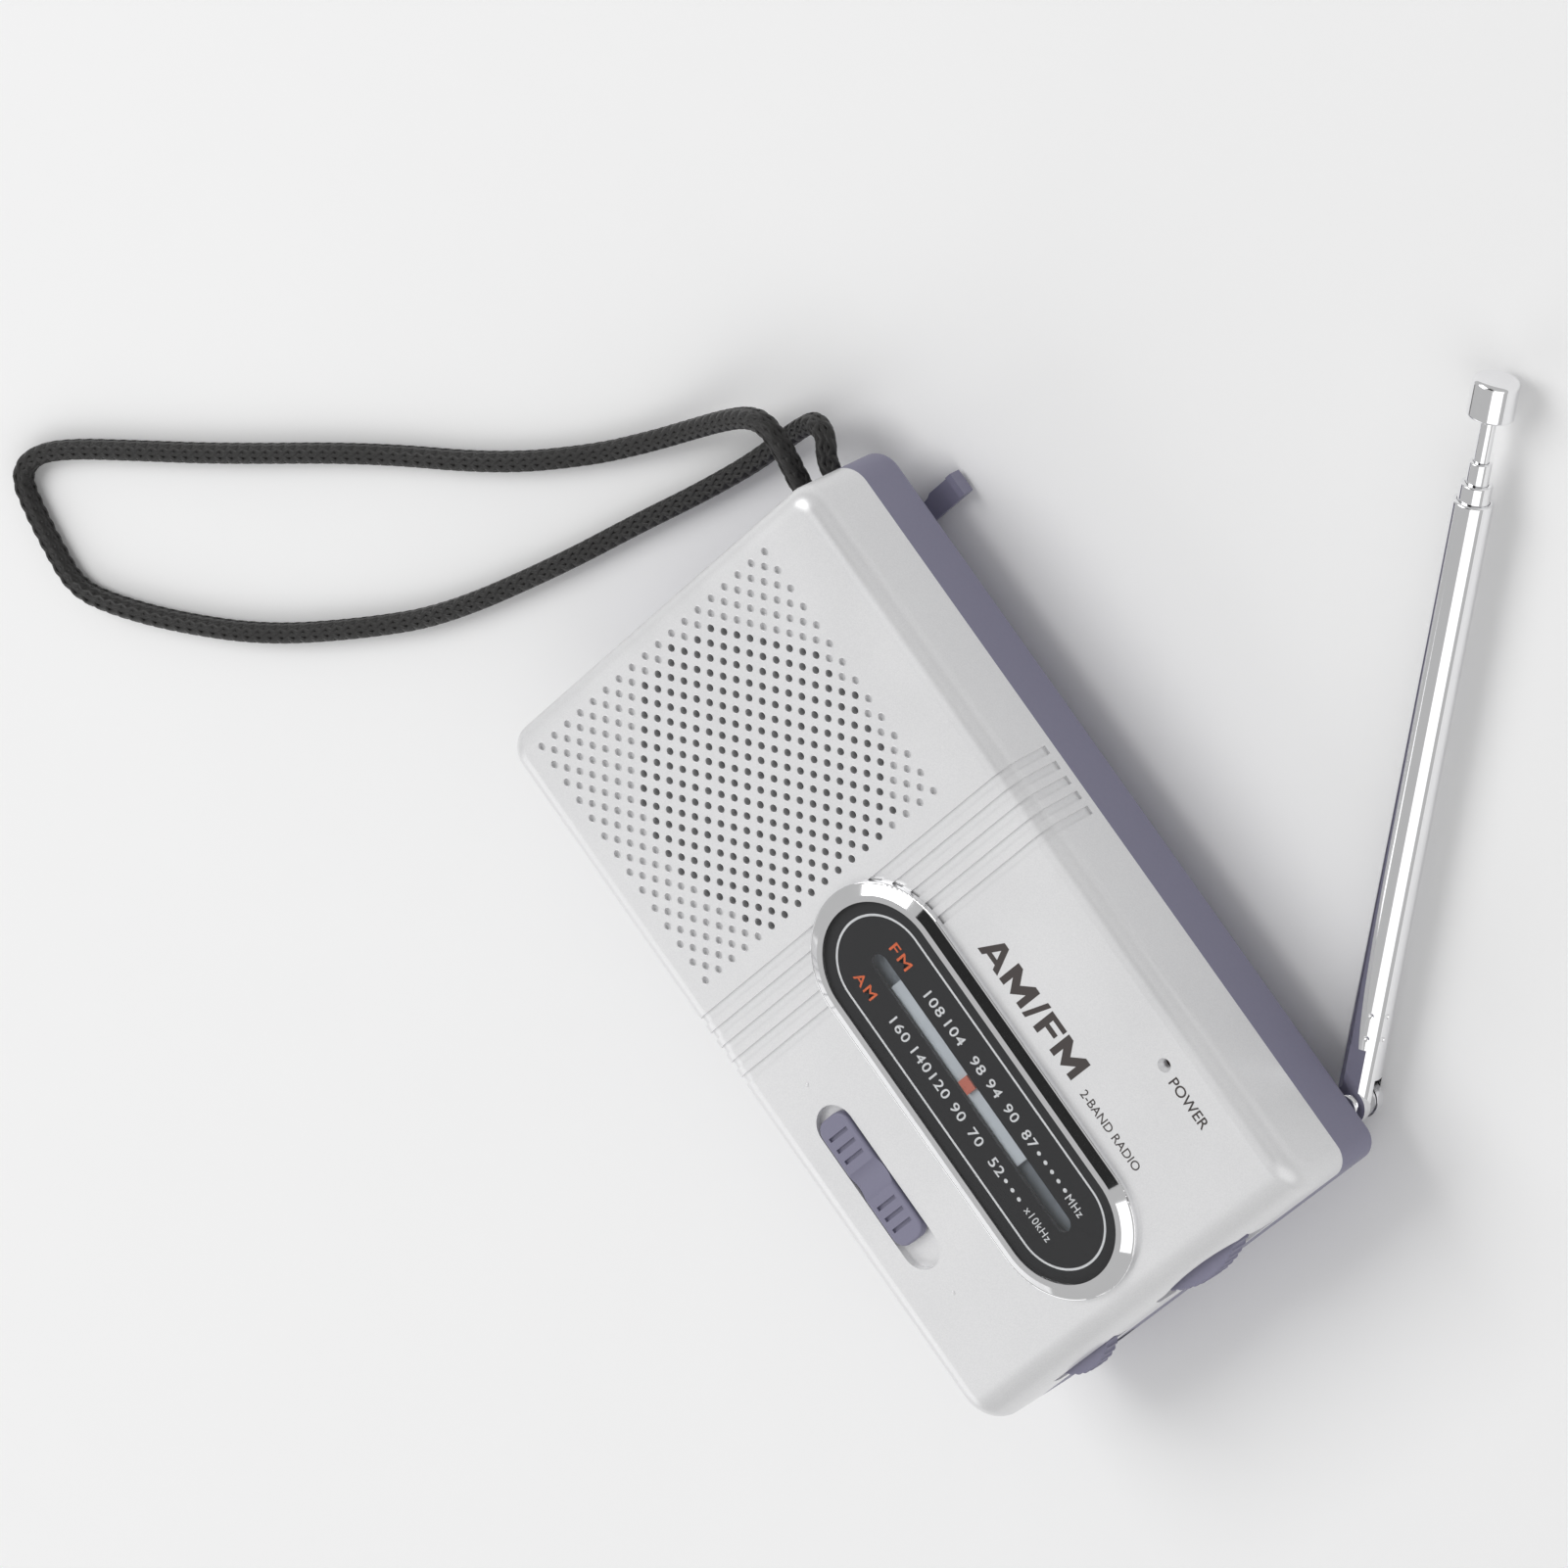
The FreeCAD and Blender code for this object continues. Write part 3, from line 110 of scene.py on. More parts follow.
@dataclass(frozen=True)
class Finish:
    """A surface finish, with its small-scale variation.

    Attributes:
        name: material name.
        light: lighter of its two close colours, linear RGB.
        dark: darker of its two close colours, linear RGB.
        grain: kind of fine pattern.
        size: size of the pattern's features, in millimetres.
        rough: lowest and highest roughness.
        metallic: 0 for plastic and paper, 1 for bare metal.
        bump: height of the pattern's relief, in millimetres.
        coat: strength of a clear coat.
        glass: transmission, for clear plastic.
        sheen: soft edge light of fibres.
    """

    name: str
    light: Colour
    dark: Colour
    grain: Grain = Grain.MOTTLE
    size: float = 0.6
    rough: tuple[float, float] = (0.4, 0.5)
    metallic: float = 0.0
    bump: float = 0.004
    coat: float = 0.0
    glass: float = 0.0
    sheen: float = 0.0

    def build(self) -> bpy.types.Material:
        """Make the material, or return it if it's there already.

        Returns:
            A node material whose colour, roughness and relief all vary.
        """
        found = bpy.data.materials.get(self.name)
        if found:
            return found
        material = bpy.data.materials.new(self.name)
        material.use_nodes = True
        nodes = material.node_tree.nodes
        links = material.node_tree.links
        shader = nodes["Principled BSDF"]
        fine, broad = self._patterns(nodes, links)
        tint = nodes.new("ShaderNodeMix")
        tint.data_type = "RGBA"
        tint.inputs["A"].default_value = (*self.dark, 1.0)
        tint.inputs["B"].default_value = (*self.light, 1.0)
        blend = nodes.new("ShaderNodeMath")
        blend.operation = "MULTIPLY_ADD"
        blend.inputs[1].default_value = 0.5
        links.new(fine, blend.inputs[0])
        half = nodes.new("ShaderNodeMath")
        half.operation = "MULTIPLY"
        half.inputs[1].default_value = 0.5
        links.new(broad, half.inputs[0])
        links.new(half.outputs[0], blend.inputs[2])
        links.new(blend.outputs[0], tint.inputs["Factor"])
        links.new(tint.outputs["Result"], shader.inputs["Base Color"])
        rough = nodes.new("ShaderNodeMapRange")
        rough.inputs["From Min"].default_value = 0.3
        rough.inputs["From Max"].default_value = 0.7
        rough.inputs["To Min"].default_value = self.rough[0]
        rough.inputs["To Max"].default_value = self.rough[1]
        links.new(broad, rough.inputs["Value"])
        links.new(rough.outputs["Result"], shader.inputs["Roughness"])
        relief = nodes.new("ShaderNodeBump")
        relief.inputs["Strength"].default_value = 0.6
        relief.inputs["Distance"].default_value = self.bump * MM
        links.new(fine, relief.inputs["Height"])
        links.new(relief.outputs["Normal"], shader.inputs["Normal"])
        shader.inputs["Metallic"].default_value = self.metallic
        shader.inputs["Coat Weight"].default_value = self.coat
        shader.inputs["Coat Roughness"].default_value = 0.12
        shader.inputs["Transmission Weight"].default_value = self.glass
        shader.inputs["IOR"].default_value = 1.49
        shader.inputs["Sheen Weight"].default_value = self.sheen
        return material

    def _patterns(self, nodes: bpy.types.Nodes, links: bpy.types.NodeLinks
                  ) -> tuple[bpy.types.NodeSocket, bpy.types.NodeSocket]:
        """Add the fine pattern and the broad unevenness.

        Args:
            nodes: the material's nodes.
            links: the material's links.

        Returns:
            The output sockets of the fine and the broad pattern.
        """
        place = nodes.new("ShaderNodeTexCoord")
        turn = nodes.new("ShaderNodeMapping")
        if self.grain is Grain.BRUSHED:
            turn.inputs["Scale"].default_value = (0.06, 1.0, 1.0)
        if self.grain is Grain.FIBRE:
            turn.inputs["Rotation"].default_value = (0.4, 0.3, 0.8)
            turn.inputs["Scale"].default_value = (0.35, 1.0, 1.0)
        links.new(place.outputs["Object"], turn.inputs["Vector"])
        if self.grain is Grain.FLAKE:
            fine = nodes.new("ShaderNodeTexVoronoi")
            fine.inputs["Scale"].default_value = 1 / (self.size * MM)
            grey = nodes.new("ShaderNodeRGBToBW")
            links.new(turn.outputs["Vector"], fine.inputs["Vector"])
            links.new(fine.outputs["Color"], grey.inputs["Color"])
            fine_socket = grey.outputs["Val"]
        else:
            fine = nodes.new("ShaderNodeTexNoise")
            fine.inputs["Scale"].default_value = 1 / (self.size * MM)
            fine.inputs["Detail"].default_value = 4.0
            links.new(turn.outputs["Vector"], fine.inputs["Vector"])
            fine_socket = fine.outputs["Fac"]
        broad = nodes.new("ShaderNodeTexNoise")
        broad.inputs["Scale"].default_value = 1 / (18 * MM)
        broad.inputs["Detail"].default_value = 3.0
        links.new(place.outputs["Object"], broad.inputs["Vector"])
        return fine_socket, broad.outputs["Fac"]


SILVER = Finish("silver_paint", (0.84, 0.84, 0.845), (0.72, 0.72, 0.73), Grain.FLAKE, 0.16, (0.32, 0.42),
                metallic=0.35, bump=0.002, coat=0.2)
LAVENDER = Finish("lavender_plastic", (0.235, 0.228, 0.315), (0.195, 0.188, 0.270), Grain.MOTTLE, 0.35,
                  (0.42, 0.52), bump=0.006)
PLATED = Finish("bright_plating", (0.93, 0.93, 0.94), (0.86, 0.86, 0.87), Grain.MOTTLE, 3.0, (0.04, 0.09),
                metallic=1.0, bump=0.0008)
STEEL = Finish("plated_steel", (0.66, 0.66, 0.67), (0.50, 0.50, 0.51), Grain.BRUSHED, 0.12, (0.25, 0.38),
               metallic=1.0, bump=0.002)
BRASS = Finish("turned_brass", (0.78, 0.58, 0.26), (0.62, 0.44, 0.18), Grain.BRUSHED, 0.15, (0.22, 0.34),
               metallic=1.0, bump=0.002)
COPPER = Finish("enamelled_copper", (0.62, 0.24, 0.10), (0.46, 0.16, 0.06), Grain.BRUSHED, 0.25, (0.25, 0.4),
                metallic=0.8, bump=0.03)
CLEAR = Finish("clear_window", (0.96, 0.97, 0.98), (0.93, 0.94, 0.95), Grain.MOTTLE, 4.0, (0.015, 0.04),
               bump=0.0006, glass=1.0)
SCALE_BLACK = Finish("scale_black", (0.036, 0.036, 0.040), (0.026, 0.026, 0.030), Grain.MOTTLE, 0.25,
                     (0.5, 0.6), bump=0.002)
STRIP_GREY = Finish("strip_grey", (0.066, 0.065, 0.069), (0.050, 0.049, 0.053), Grain.MOTTLE, 6.0, (0.7, 0.8))
RAIL_GREY = Finish("rail_blue_grey", (0.15, 0.17, 0.19), (0.125, 0.142, 0.160), Grain.MOTTLE, 0.5, (0.5, 0.6))
ORANGE = Finish("pointer_orange", (0.46, 0.115, 0.07), (0.38, 0.09, 0.055), Grain.MOTTLE, 0.4, (0.35, 0.45))
ORANGE_INK = Finish("ink_orange", (0.78, 0.15, 0.035), (0.68, 0.11, 0.025), Grain.MOTTLE, 0.2, (0.5, 0.6),
                    bump=0.001)
WHITE_INK = Finish("ink_white", (0.78, 0.79, 0.80), (0.68, 0.69, 0.70), Grain.MOTTLE, 0.2, (0.5, 0.6),
                   bump=0.001)
DARK_INK = Finish("ink_dark_grey", (0.060, 0.048, 0.046), (0.042, 0.034, 0.032), Grain.MOTTLE, 0.2,
                  (0.45, 0.55), bump=0.001)
BLACK_PLASTIC = Finish("black_plastic", (0.030, 0.030, 0.032), (0.018, 0.018, 0.020), Grain.MOTTLE, 0.3,
                       (0.45, 0.6), bump=0.006)
WHITE_PLASTIC = Finish("natural_plastic", (0.72, 0.71, 0.66), (0.62, 0.61, 0.56), Grain.MOTTLE, 0.5,
                       (0.4, 0.5), bump=0.004)
LED_DARK = Finish("led_smoked", (0.022, 0.008, 0.008), (0.014, 0.005, 0.005), Grain.MOTTLE, 1.0, (0.15, 0.3),
                  bump=0.001)
LAMINATE = Finish("board_laminate", (0.36, 0.20, 0.07), (0.26, 0.14, 0.05), Grain.FIBRE, 0.4, (0.45, 0.6))
FERRITE = Finish("ferrite", (0.055, 0.055, 0.058), (0.035, 0.035, 0.037), Grain.MOTTLE, 0.2, (0.55, 0.7),
                 bump=0.01)
PULP = Finish("cone_pulp", (0.035, 0.034, 0.032), (0.020, 0.019, 0.018), Grain.FIBRE, 0.25, (0.8, 0.95),
              bump=0.02)
FELT = Finish("felt", (0.06, 0.06, 0.062), (0.035, 0.035, 0.037), Grain.FIBRE, 0.2, (0.9, 1.0), bump=0.03,
              sheen=0.3)
CELL_SLEEVE = Finish("cell_sleeve", (0.05, 0.09, 0.16), (0.035, 0.065, 0.12), Grain.BRUSHED, 0.4,
                     (0.25, 0.35), metallic=0.3, coat=0.3)
BRAID = Finish("cord_nylon", (0.017, 0.0155, 0.0145), (0.004, 0.0038, 0.0036), Grain.FIBRE, 0.12, (0.42, 0.6),
               bump=0.03, sheen=0.04)
CARD = Finish("studio_card", (0.02, 0.02, 0.02), (0.015, 0.015, 0.015), Grain.MOTTLE, 40.0, (0.9, 1.0),
              bump=0.0)
FLOOR = Finish("studio_floor", (0.93, 0.93, 0.93), (0.91, 0.91, 0.91), Grain.MOTTLE, 40.0, (0.75, 0.8),
               bump=0.0)


# ------------------------------------------------------------------ mesh and node helpers
def new_piece(name: str, mesh: bpy.types.Mesh, body: str, finish: Finish) -> bpy.types.Object:
    """Put a finished mesh into the scene as a piece that rides on a body.

    Args:
        name: the piece's name.
        mesh: its mesh, already in the frame's coordinates.
        body: the body that it moves with.
        finish: what it's made of.

    Returns:
        The new object, at the origin.
    """
    piece = bpy.data.objects.new(name, mesh)
    bpy.context.scene.collection.objects.link(piece)
    mesh.materials.clear()
    mesh.materials.append(finish.build())
    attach(piece, body)
    log.info("%s: %d faces on %s", name, len(mesh.polygons), body)
    return piece


def join_meshes(name: str, parts: Sequence[bpy.types.Mesh]) -> bpy.types.Mesh:
    """Make one mesh of several.

    Args:
        name: name of the joined mesh.
        parts: the meshes to join.

    Returns:
        The joined mesh.
    """
    points: list[tuple[float, ...]] = []
    faces: list[tuple[int, ...]] = []
    for part in parts:
        start = len(points)
        points.extend(tuple(v.co) for v in part.vertices)
        faces.extend(tuple(start + i for i in p.vertices) for p in part.polygons)
    mesh = bpy.data.meshes.new(name)
    mesh.from_pydata(points, [], faces)
    return mesh


def lettering(text: str, x: float, y: float, z: float, width: float, height: float, bold: float = 0.0,
              spacing: float = 1.0) -> bpy.types.Mesh:
    """Flat printed lettering that reads along +X.

    Args:
        text: what it says.
        x: middle of the word, in millimetres.
        y: middle of the word, in millimetres.
        z: height of the print, in millimetres.
        width: length of the word, in millimetres.
        height: height of its capitals, in millimetres.
        bold: how far the strokes are thickened, as a share of the type size.
        spacing: room for each letter, as a share of the type's own.

    Returns:
        A flat mesh in the frame's coordinates.
    """
    curve = bpy.data.curves.new("lettering", "FONT")
    curve.body = text
    curve.offset = bold
    curve.space_character = spacing
    curve.resolution_u = 4
    holder = bpy.data.objects.new("lettering", curve)
    bpy.context.scene.collection.objects.link(holder)
    graph = bpy.context.evaluated_depsgraph_get()
    mesh = bpy.data.meshes.new_from_object(holder.evaluated_get(graph))
    bpy.data.objects.remove(holder)
    xs = [v.co.x for v in mesh.vertices]
    ys = [v.co.y for v in mesh.vertices]
    scale = Matrix.Diagonal((width * MM / (max(xs) - min(xs)), height * MM / (max(ys) - min(ys)), 1.0, 1.0))
    centre = Matrix.Translation((-(max(xs) + min(xs)) / 2, -(max(ys) + min(ys)) / 2, 0.0))
    mesh.transform(Matrix.Translation((x * MM, y * MM, z * MM)) @ scale @ centre)
    return mesh


def block_letters(text: str, x: float, y: float, z: float, width: float, height: float) -> bpy.types.Mesh:
    """Heavy straight-sided capitals that read along +X.

    Args:
        text: letters out of A, M, F and the slash.
        x: left end of the word, in millimetres.
        y: foot of the letters, in millimetres.
        z: height of the print, in millimetres.
        width: length of the word, in millimetres.
        height: height of the letters, in millimetres.

    Returns:
        A flat mesh in the frame's coordinates.
    """
    stem = 0.24                     # share of the height, as every size below
    gap = 0.10
    widths = {"A": 1.06, "M": 1.16, "F": 0.78, "/": 0.46}
    lean = stem / 2
    half_a = widths["A"] / 2
    rise = 1.0 / (half_a - lean)
    inner = (half_a - stem) * rise
    half_m = widths["M"] / 2
    drop = 0.52

    def mirrored(outline: list[tuple[float, float]], wide: float) -> list[list[tuple[float, float]]]:
        """An outline and its mirror image in a letter this wide."""
        return [outline, [(wide - px, py) for px, py in reversed(outline)]]

    bar_low, bar_high = 0.17, 0.36
    shapes = {
        "A": mirrored([(0, 0), (stem, 0), (half_a, inner), (half_a, 1), (half_a - lean, 1)], widths["A"])
        + [[(stem + bar_low / rise, bar_low), (widths["A"] - stem - bar_low / rise, bar_low),
            (widths["A"] - stem - bar_high / rise, bar_high), (stem + bar_high / rise, bar_high)]],
        "M": mirrored([(0, 0), (stem, 0), (stem, 1), (0, 1)], widths["M"])
        + mirrored([(stem, 1 - drop), (half_m, 0), (half_m, drop), (stem, 1)], widths["M"]),
        "F": [[(0, 0), (stem, 0), (stem, 1), (0, 1)], [(stem, 0.8), (widths["F"], 0.8), (widths["F"], 1), (stem, 1)],
              [(stem, 0.4), (0.7, 0.4), (0.7, 0.6), (stem, 0.6)]],
        "/": [[(0, -0.04), (lean + 0.06, -0.04), (widths["/"], 1.04), (widths["/"] - lean - 0.06, 1.04)]],
    }
    points: list[Point] = []
    faces: list[tuple[int, ...]] = []
    total = sum(widths[c] for c in text) + gap * (len(text) - 1)
    start = 0.0
    for letter in text:
        for outline in shapes[letter]:
            faces.append(tuple(range(len(points), len(points) + len(outline))))
            points.extend(((x + (start + px) * width / total) * MM, (y + py * height) * MM, z * MM)
                          for px, py in outline)
        start += widths[letter] + gap
    mesh = bpy.data.meshes.new("block_letters")
    mesh.from_pydata(points, [], faces)
    return mesh


def stadium_line(xa: float, xb: float, y: float, z: float, radius: float, width: float) -> bpy.types.Mesh:
    """A flat printed line round a slot shape along X.

    Args:
        xa: centre of one round end, in millimetres.
        xb: centre of the other, in millimetres.
        y: the shape's centre line, in millimetres.
        z: height of the print, in millimetres.
        radius: radius of the line's middle, in millimetres.
        width: width of the line, in millimetres.

    Returns:
        A flat ring mesh in the frame's coordinates.
    """
    steps = 32
    points: list[Point] = []
    for centre, start in ((xb, -90.0), (xa, 90.0)):
        for k in range(steps + 1):
            angle = math.radians(start + 180.0 * k / steps)
            for r in (radius - width / 2, radius + width / 2):
                points.append(((centre + r * math.cos(angle)) * MM, (y + r * math.sin(angle)) * MM, z * MM))
    count = len(points)
    faces = [(k, k + 1, (k + 3) % count, (k + 2) % count) for k in range(0, count, 2)]
    mesh = bpy.data.meshes.new("stadium_line")
    mesh.from_pydata(points, [], faces)
    return mesh


@dataclass
class Tree:
    """A Geometry Nodes tree that ends in Realize Instances and Set Material.

    Attributes:
        name: name of the tree.
        group: the node group itself.
    """

    name: str
    group: bpy.types.GeometryNodeTree = field(init=False)

    def __post_init__(self) -> None:
        """Start the tree with a geometry input and output."""
        self.group = bpy.data.node_groups.new(self.name, "GeometryNodeTree")
        self.group.interface.new_socket("Geometry", in_out="INPUT", socket_type="NodeSocketGeometry")
        self.group.interface.new_socket("Geometry", in_out="OUTPUT", socket_type="NodeSocketGeometry")
        self.source = self.add("NodeGroupInput")

    def add(self, kind: str, **settings: object) -> bpy.types.Node:
        """Add a node and set its properties."""
        node = self.group.nodes.new(kind)
        for key, value in settings.items():
            setattr(node, key, value)
        return node

    def number(self, name: str, value: float) -> bpy.types.NodeSocket:
        """Add a named number input and return its socket inside the tree."""
        socket = self.group.interface.new_socket(name, in_out="INPUT", socket_type="NodeSocketFloat")
        socket.default_value = value
        return self.source.outputs[name]

    def count(self, name: str, value: int) -> bpy.types.NodeSocket:
        """Add a named whole-number input and return its socket inside the tree."""
        socket = self.group.interface.new_socket(name, in_out="INPUT", socket_type="NodeSocketInt")
        socket.default_value = value
        return self.source.outputs[name]

    def link(self, out: bpy.types.NodeSocket, into: bpy.types.NodeSocket) -> None:
        """Join two sockets."""
        self.group.links.new(out, into)

    def math(self, operation: str, *values: object) -> bpy.types.NodeSocket:
        """Add a Math node fed by numbers or sockets.

        Args:
            operation: the node's operation.
            values: its inputs, each a number or a socket.

        Returns:
            The node's output.
        """
        node = self.add("ShaderNodeMath", operation=operation)
        self._feed(node, values)
        return node.outputs[0]

    def vector(self, operation: str, *values: object) -> bpy.types.NodeSocket:
        """Add a Vector Math node fed by vectors, numbers or sockets.

        Args:
            operation: the node's operation.
            values: its inputs, each a value or a socket.

        Returns:
            The node's vector output.
        """
        node = self.add("ShaderNodeVectorMath", operation=operation)
        if operation == "SCALE":
            self._feed(node, values[:1])
            self._set(node.inputs["Scale"], values[1])
        else:
            self._feed(node, values)
        return node.outputs["Vector"]

    def point(self, x: object, y: object, z: object) -> bpy.types.NodeSocket:
        """Combine three numbers or sockets into a vector."""
        node = self.add("ShaderNodeCombineXYZ")
        self._feed(node, (x, y, z))
        return node.outputs["Vector"]

    def _feed(self, node: bpy.types.Node, values: Iterable[object]) -> None:
        """Set or link a node's first inputs."""
        for socket, value in zip(node.inputs, values):
            self._set(socket, value)

    def _set(self, socket: bpy.types.NodeSocket, value: object) -> None:
        """Set a socket to a value, or link a socket to it."""
        if isinstance(value, bpy.types.NodeSocket):
            self.link(value, socket)
        else:
            socket.default_value = value

    def finish(self, geometry: bpy.types.NodeSocket, finish: Finish) -> None:
        """End the tree: realise the instances and set the material."""
        realise = self.add("GeometryNodeRealizeInstances")
        dress = self.add("GeometryNodeSetMaterial")
        dress.inputs["Material"].default_value = finish.build()
        end = self.add("NodeGroupOutput")
        self.link(geometry, realise.inputs["Geometry"])
        self.link(realise.outputs["Geometry"], dress.inputs["Geometry"])
        self.link(dress.outputs["Geometry"], end.inputs["Geometry"])

    def make(self, base: bpy.types.Mesh, values: dict[str, float]) -> bpy.types.Mesh:
        """Run the tree on a mesh.

        Args:
            base: the geometry that goes in.
            values: the tree's inputs by name.

        Returns:
            The plain mesh that comes out.
        """
        holder = bpy.data.objects.new(self.name, base)
        bpy.context.scene.collection.objects.link(holder)
        modifier = holder.modifiers.new(self.name, "NODES")
        modifier.node_group = self.group
        for item in self.group.interface.items_tree:
            if item.in_out == "INPUT" and item.name in values:
                modifier[item.identifier] = values[item.name]
        graph = bpy.context.evaluated_depsgraph_get()
        mesh = bpy.data.meshes.new_from_object(holder.evaluated_get(graph))
        mesh.name = self.name
        holder.modifiers.remove(modifier)
        bpy.data.objects.remove(holder)
        return mesh


def point_mesh(name: str, points: Iterable[Point]) -> bpy.types.Mesh:
    """A mesh of loose points, given in millimetres."""
    mesh = bpy.data.meshes.new(name)
    mesh.from_pydata([(x * MM, y * MM, z * MM) for x, y, z in points], [], [])
    return mesh


# ------------------------------------------------------------------ case
@dataclass
class Case:
    """The two case halves, their prints, grille rims and battery door.

    Attributes:
        frame: the loaded model.
        grille_first: first hole of the grille, in millimetres.
        grille_pitch: distance between neighbours in a row.
        grille_size: columns and rows of the main grid.
        hole_radius: radius of a hole.
        rim_radius: how thick the rounded rim of a hole is.
        rim_gap: room between the hole's wall and the middle of its rim.
        rim_sink: how far the rim's middle lies under the face, as a share of its radius.
        print_lift: height of a print above its surface.
        band_letters: left end, foot, width and height of the large letters.
        words: the small words, each with its middle, width, height and boldness.
        bump_radius: radius of the bumps past the slider's recess.
        bump_along: their places from the slider's near end, along X.
        bump_in: their place from the slider's low side.
        bump_flat: height of a bump, as a share of its radius.
    """

    frame: dict
    grille_first: tuple[float, float] = (-54.4, -28.9)
    grille_pitch: float = 3.057
    grille_size: tuple[int, int] = (14, 18)
    hole_radius: float = 0.62
    rim_radius: float = 0.10
    rim_gap: float = 0.02
    rim_sink: float = 0.72
    print_lift: float = 0.02
    band_letters: tuple[float, float, float, float] = (5.6, 13.7, 21.9, 4.3)
    words: tuple[tuple[str, float, float, float, float, float], ...] = (
        ("2-BAND RADIO", 36.1, 14.3, 12.9, 1.5, 0.004), ("POWER", 39.7, 27.9, 7.8, 1.8, 0.008))
    bump_radius: float = 0.34
    bump_along: tuple[float, float] = (-5.4, 29.6)
    bump_in: float = 3.1
    bump_flat: float = 0.4

    def build(self) -> None:
        """Dress the case and add its fine pieces."""
        finishes = {"front_shell": SILVER, "back_cover": LAVENDER, "battery_door": LAVENDER,
                    "case_screws": STEEL, "cord_anchor": LAVENDER, "power_led": LED_DARK}
        dress(self.frame, finishes)
        self.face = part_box("front_shell")[1].z / MM
        self._grille_rims()
        self._prints()
        self._switch_marks()

    def _grille_points(self) -> list[Point]:
        """Middles of the staggered holes, in millimetres."""
        half = self.grille_pitch / 2
        columns, rows = self.grille_size
        x0, y0 = self.grille_first
        return [(x0 + c * half, y0 + r * half, self.face) for r in range(2 * rows - 1)
                for c in range(2 * columns - 1) if r % 2 == c % 2]

    def _grille_rims(self) -> None:
        """Rounded paint-filled rims round every grille hole."""
        tree = Tree("grille_rims")
        radius = tree.number("Hole radius", 1.0)
        rim = tree.number("Rim radius", 0.1)
        ring = tree.add("GeometryNodeCurvePrimitiveCircle")
        ring.inputs["Resolution"].default_value = 16
        tree.link(radius, ring.inputs["Radius"])
        bead = tree.add("GeometryNodeCurvePrimitiveCircle")
        bead.inputs["Resolution"].default_value = 6
        tree.link(rim, bead.inputs["Radius"])
        sweep = tree.add("GeometryNodeCurveToMesh")
        tree.link(ring.outputs["Curve"], sweep.inputs["Curve"])
        tree.link(bead.outputs["Curve"], sweep.inputs["Profile Curve"])
        smooth = tree.add("GeometryNodeSetShadeSmooth")
        tree.link(sweep.outputs["Mesh"], smooth.inputs["Geometry"])
        spread = tree.add("GeometryNodeInstanceOnPoints")
        tree.link(tree.source.outputs["Geometry"], spread.inputs["Points"])
        tree.link(smooth.outputs["Geometry"], spread.inputs["Instance"])
        tree.finish(spread.outputs["Instances"], SILVER)
        places = [(x, y, z - self.rim_radius * self.rim_sink) for x, y, z in self._grille_points()]
        mesh = tree.make(point_mesh("grille_places", places),
                         {"Hole radius": (self.hole_radius + self.rim_gap) * MM, "Rim radius": self.rim_radius * MM})
        new_piece("grille_rims", mesh, "case", SILVER)

    def _prints(self) -> None:
        """Dark lettering on the face."""
        z = self.face + self.print_lift
        x, y, width, height = self.band_letters
        new_piece("print_bands", block_letters("AM/FM", x, y, z, width, height), "case", DARK_INK)
        small = [lettering(text, x, y, z, width, height, bold=bold)
                 for text, x, y, width, height, bold in self.words]
        new_piece("print_words", join_meshes("print_words", small), "case", DARK_INK)

    def _switch_marks(self) -> None:
        """A small round bump past each end of the slider's recess."""
        tree = Tree("recess_bumps")
        radius = tree.number("Bump radius", 1.0)
        ball = tree.add("GeometryNodeMeshUVSphere")
        ball.inputs["Segments"].default_value = 24
        ball.inputs["Rings"].default_value = 12
        tree.link(radius, ball.inputs["Radius"])
        smooth = tree.add("GeometryNodeSetShadeSmooth")
        tree.link(ball.outputs["Mesh"], smooth.inputs["Geometry"])
        spread = tree.add("GeometryNodeInstanceOnPoints")
        spread.inputs["Scale"].default_value = (1.0, 1.0, self.bump_flat)
        tree.link(tree.source.outputs["Geometry"], spread.inputs["Points"])
        tree.link(smooth.outputs["Geometry"], spread.inputs["Instance"])
        tree.finish(spread.outputs["Instances"], SILVER)
        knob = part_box("band_knob")[0] / MM
        places = [(knob.x + along, knob.y + self.bump_in, self.face) for along in self.bump_along]
        mesh = tree.make(point_mesh("bump_places", places), {"Bump radius": self.bump_radius * MM})
        new_piece("recess_bumps", mesh, "case", SILVER)


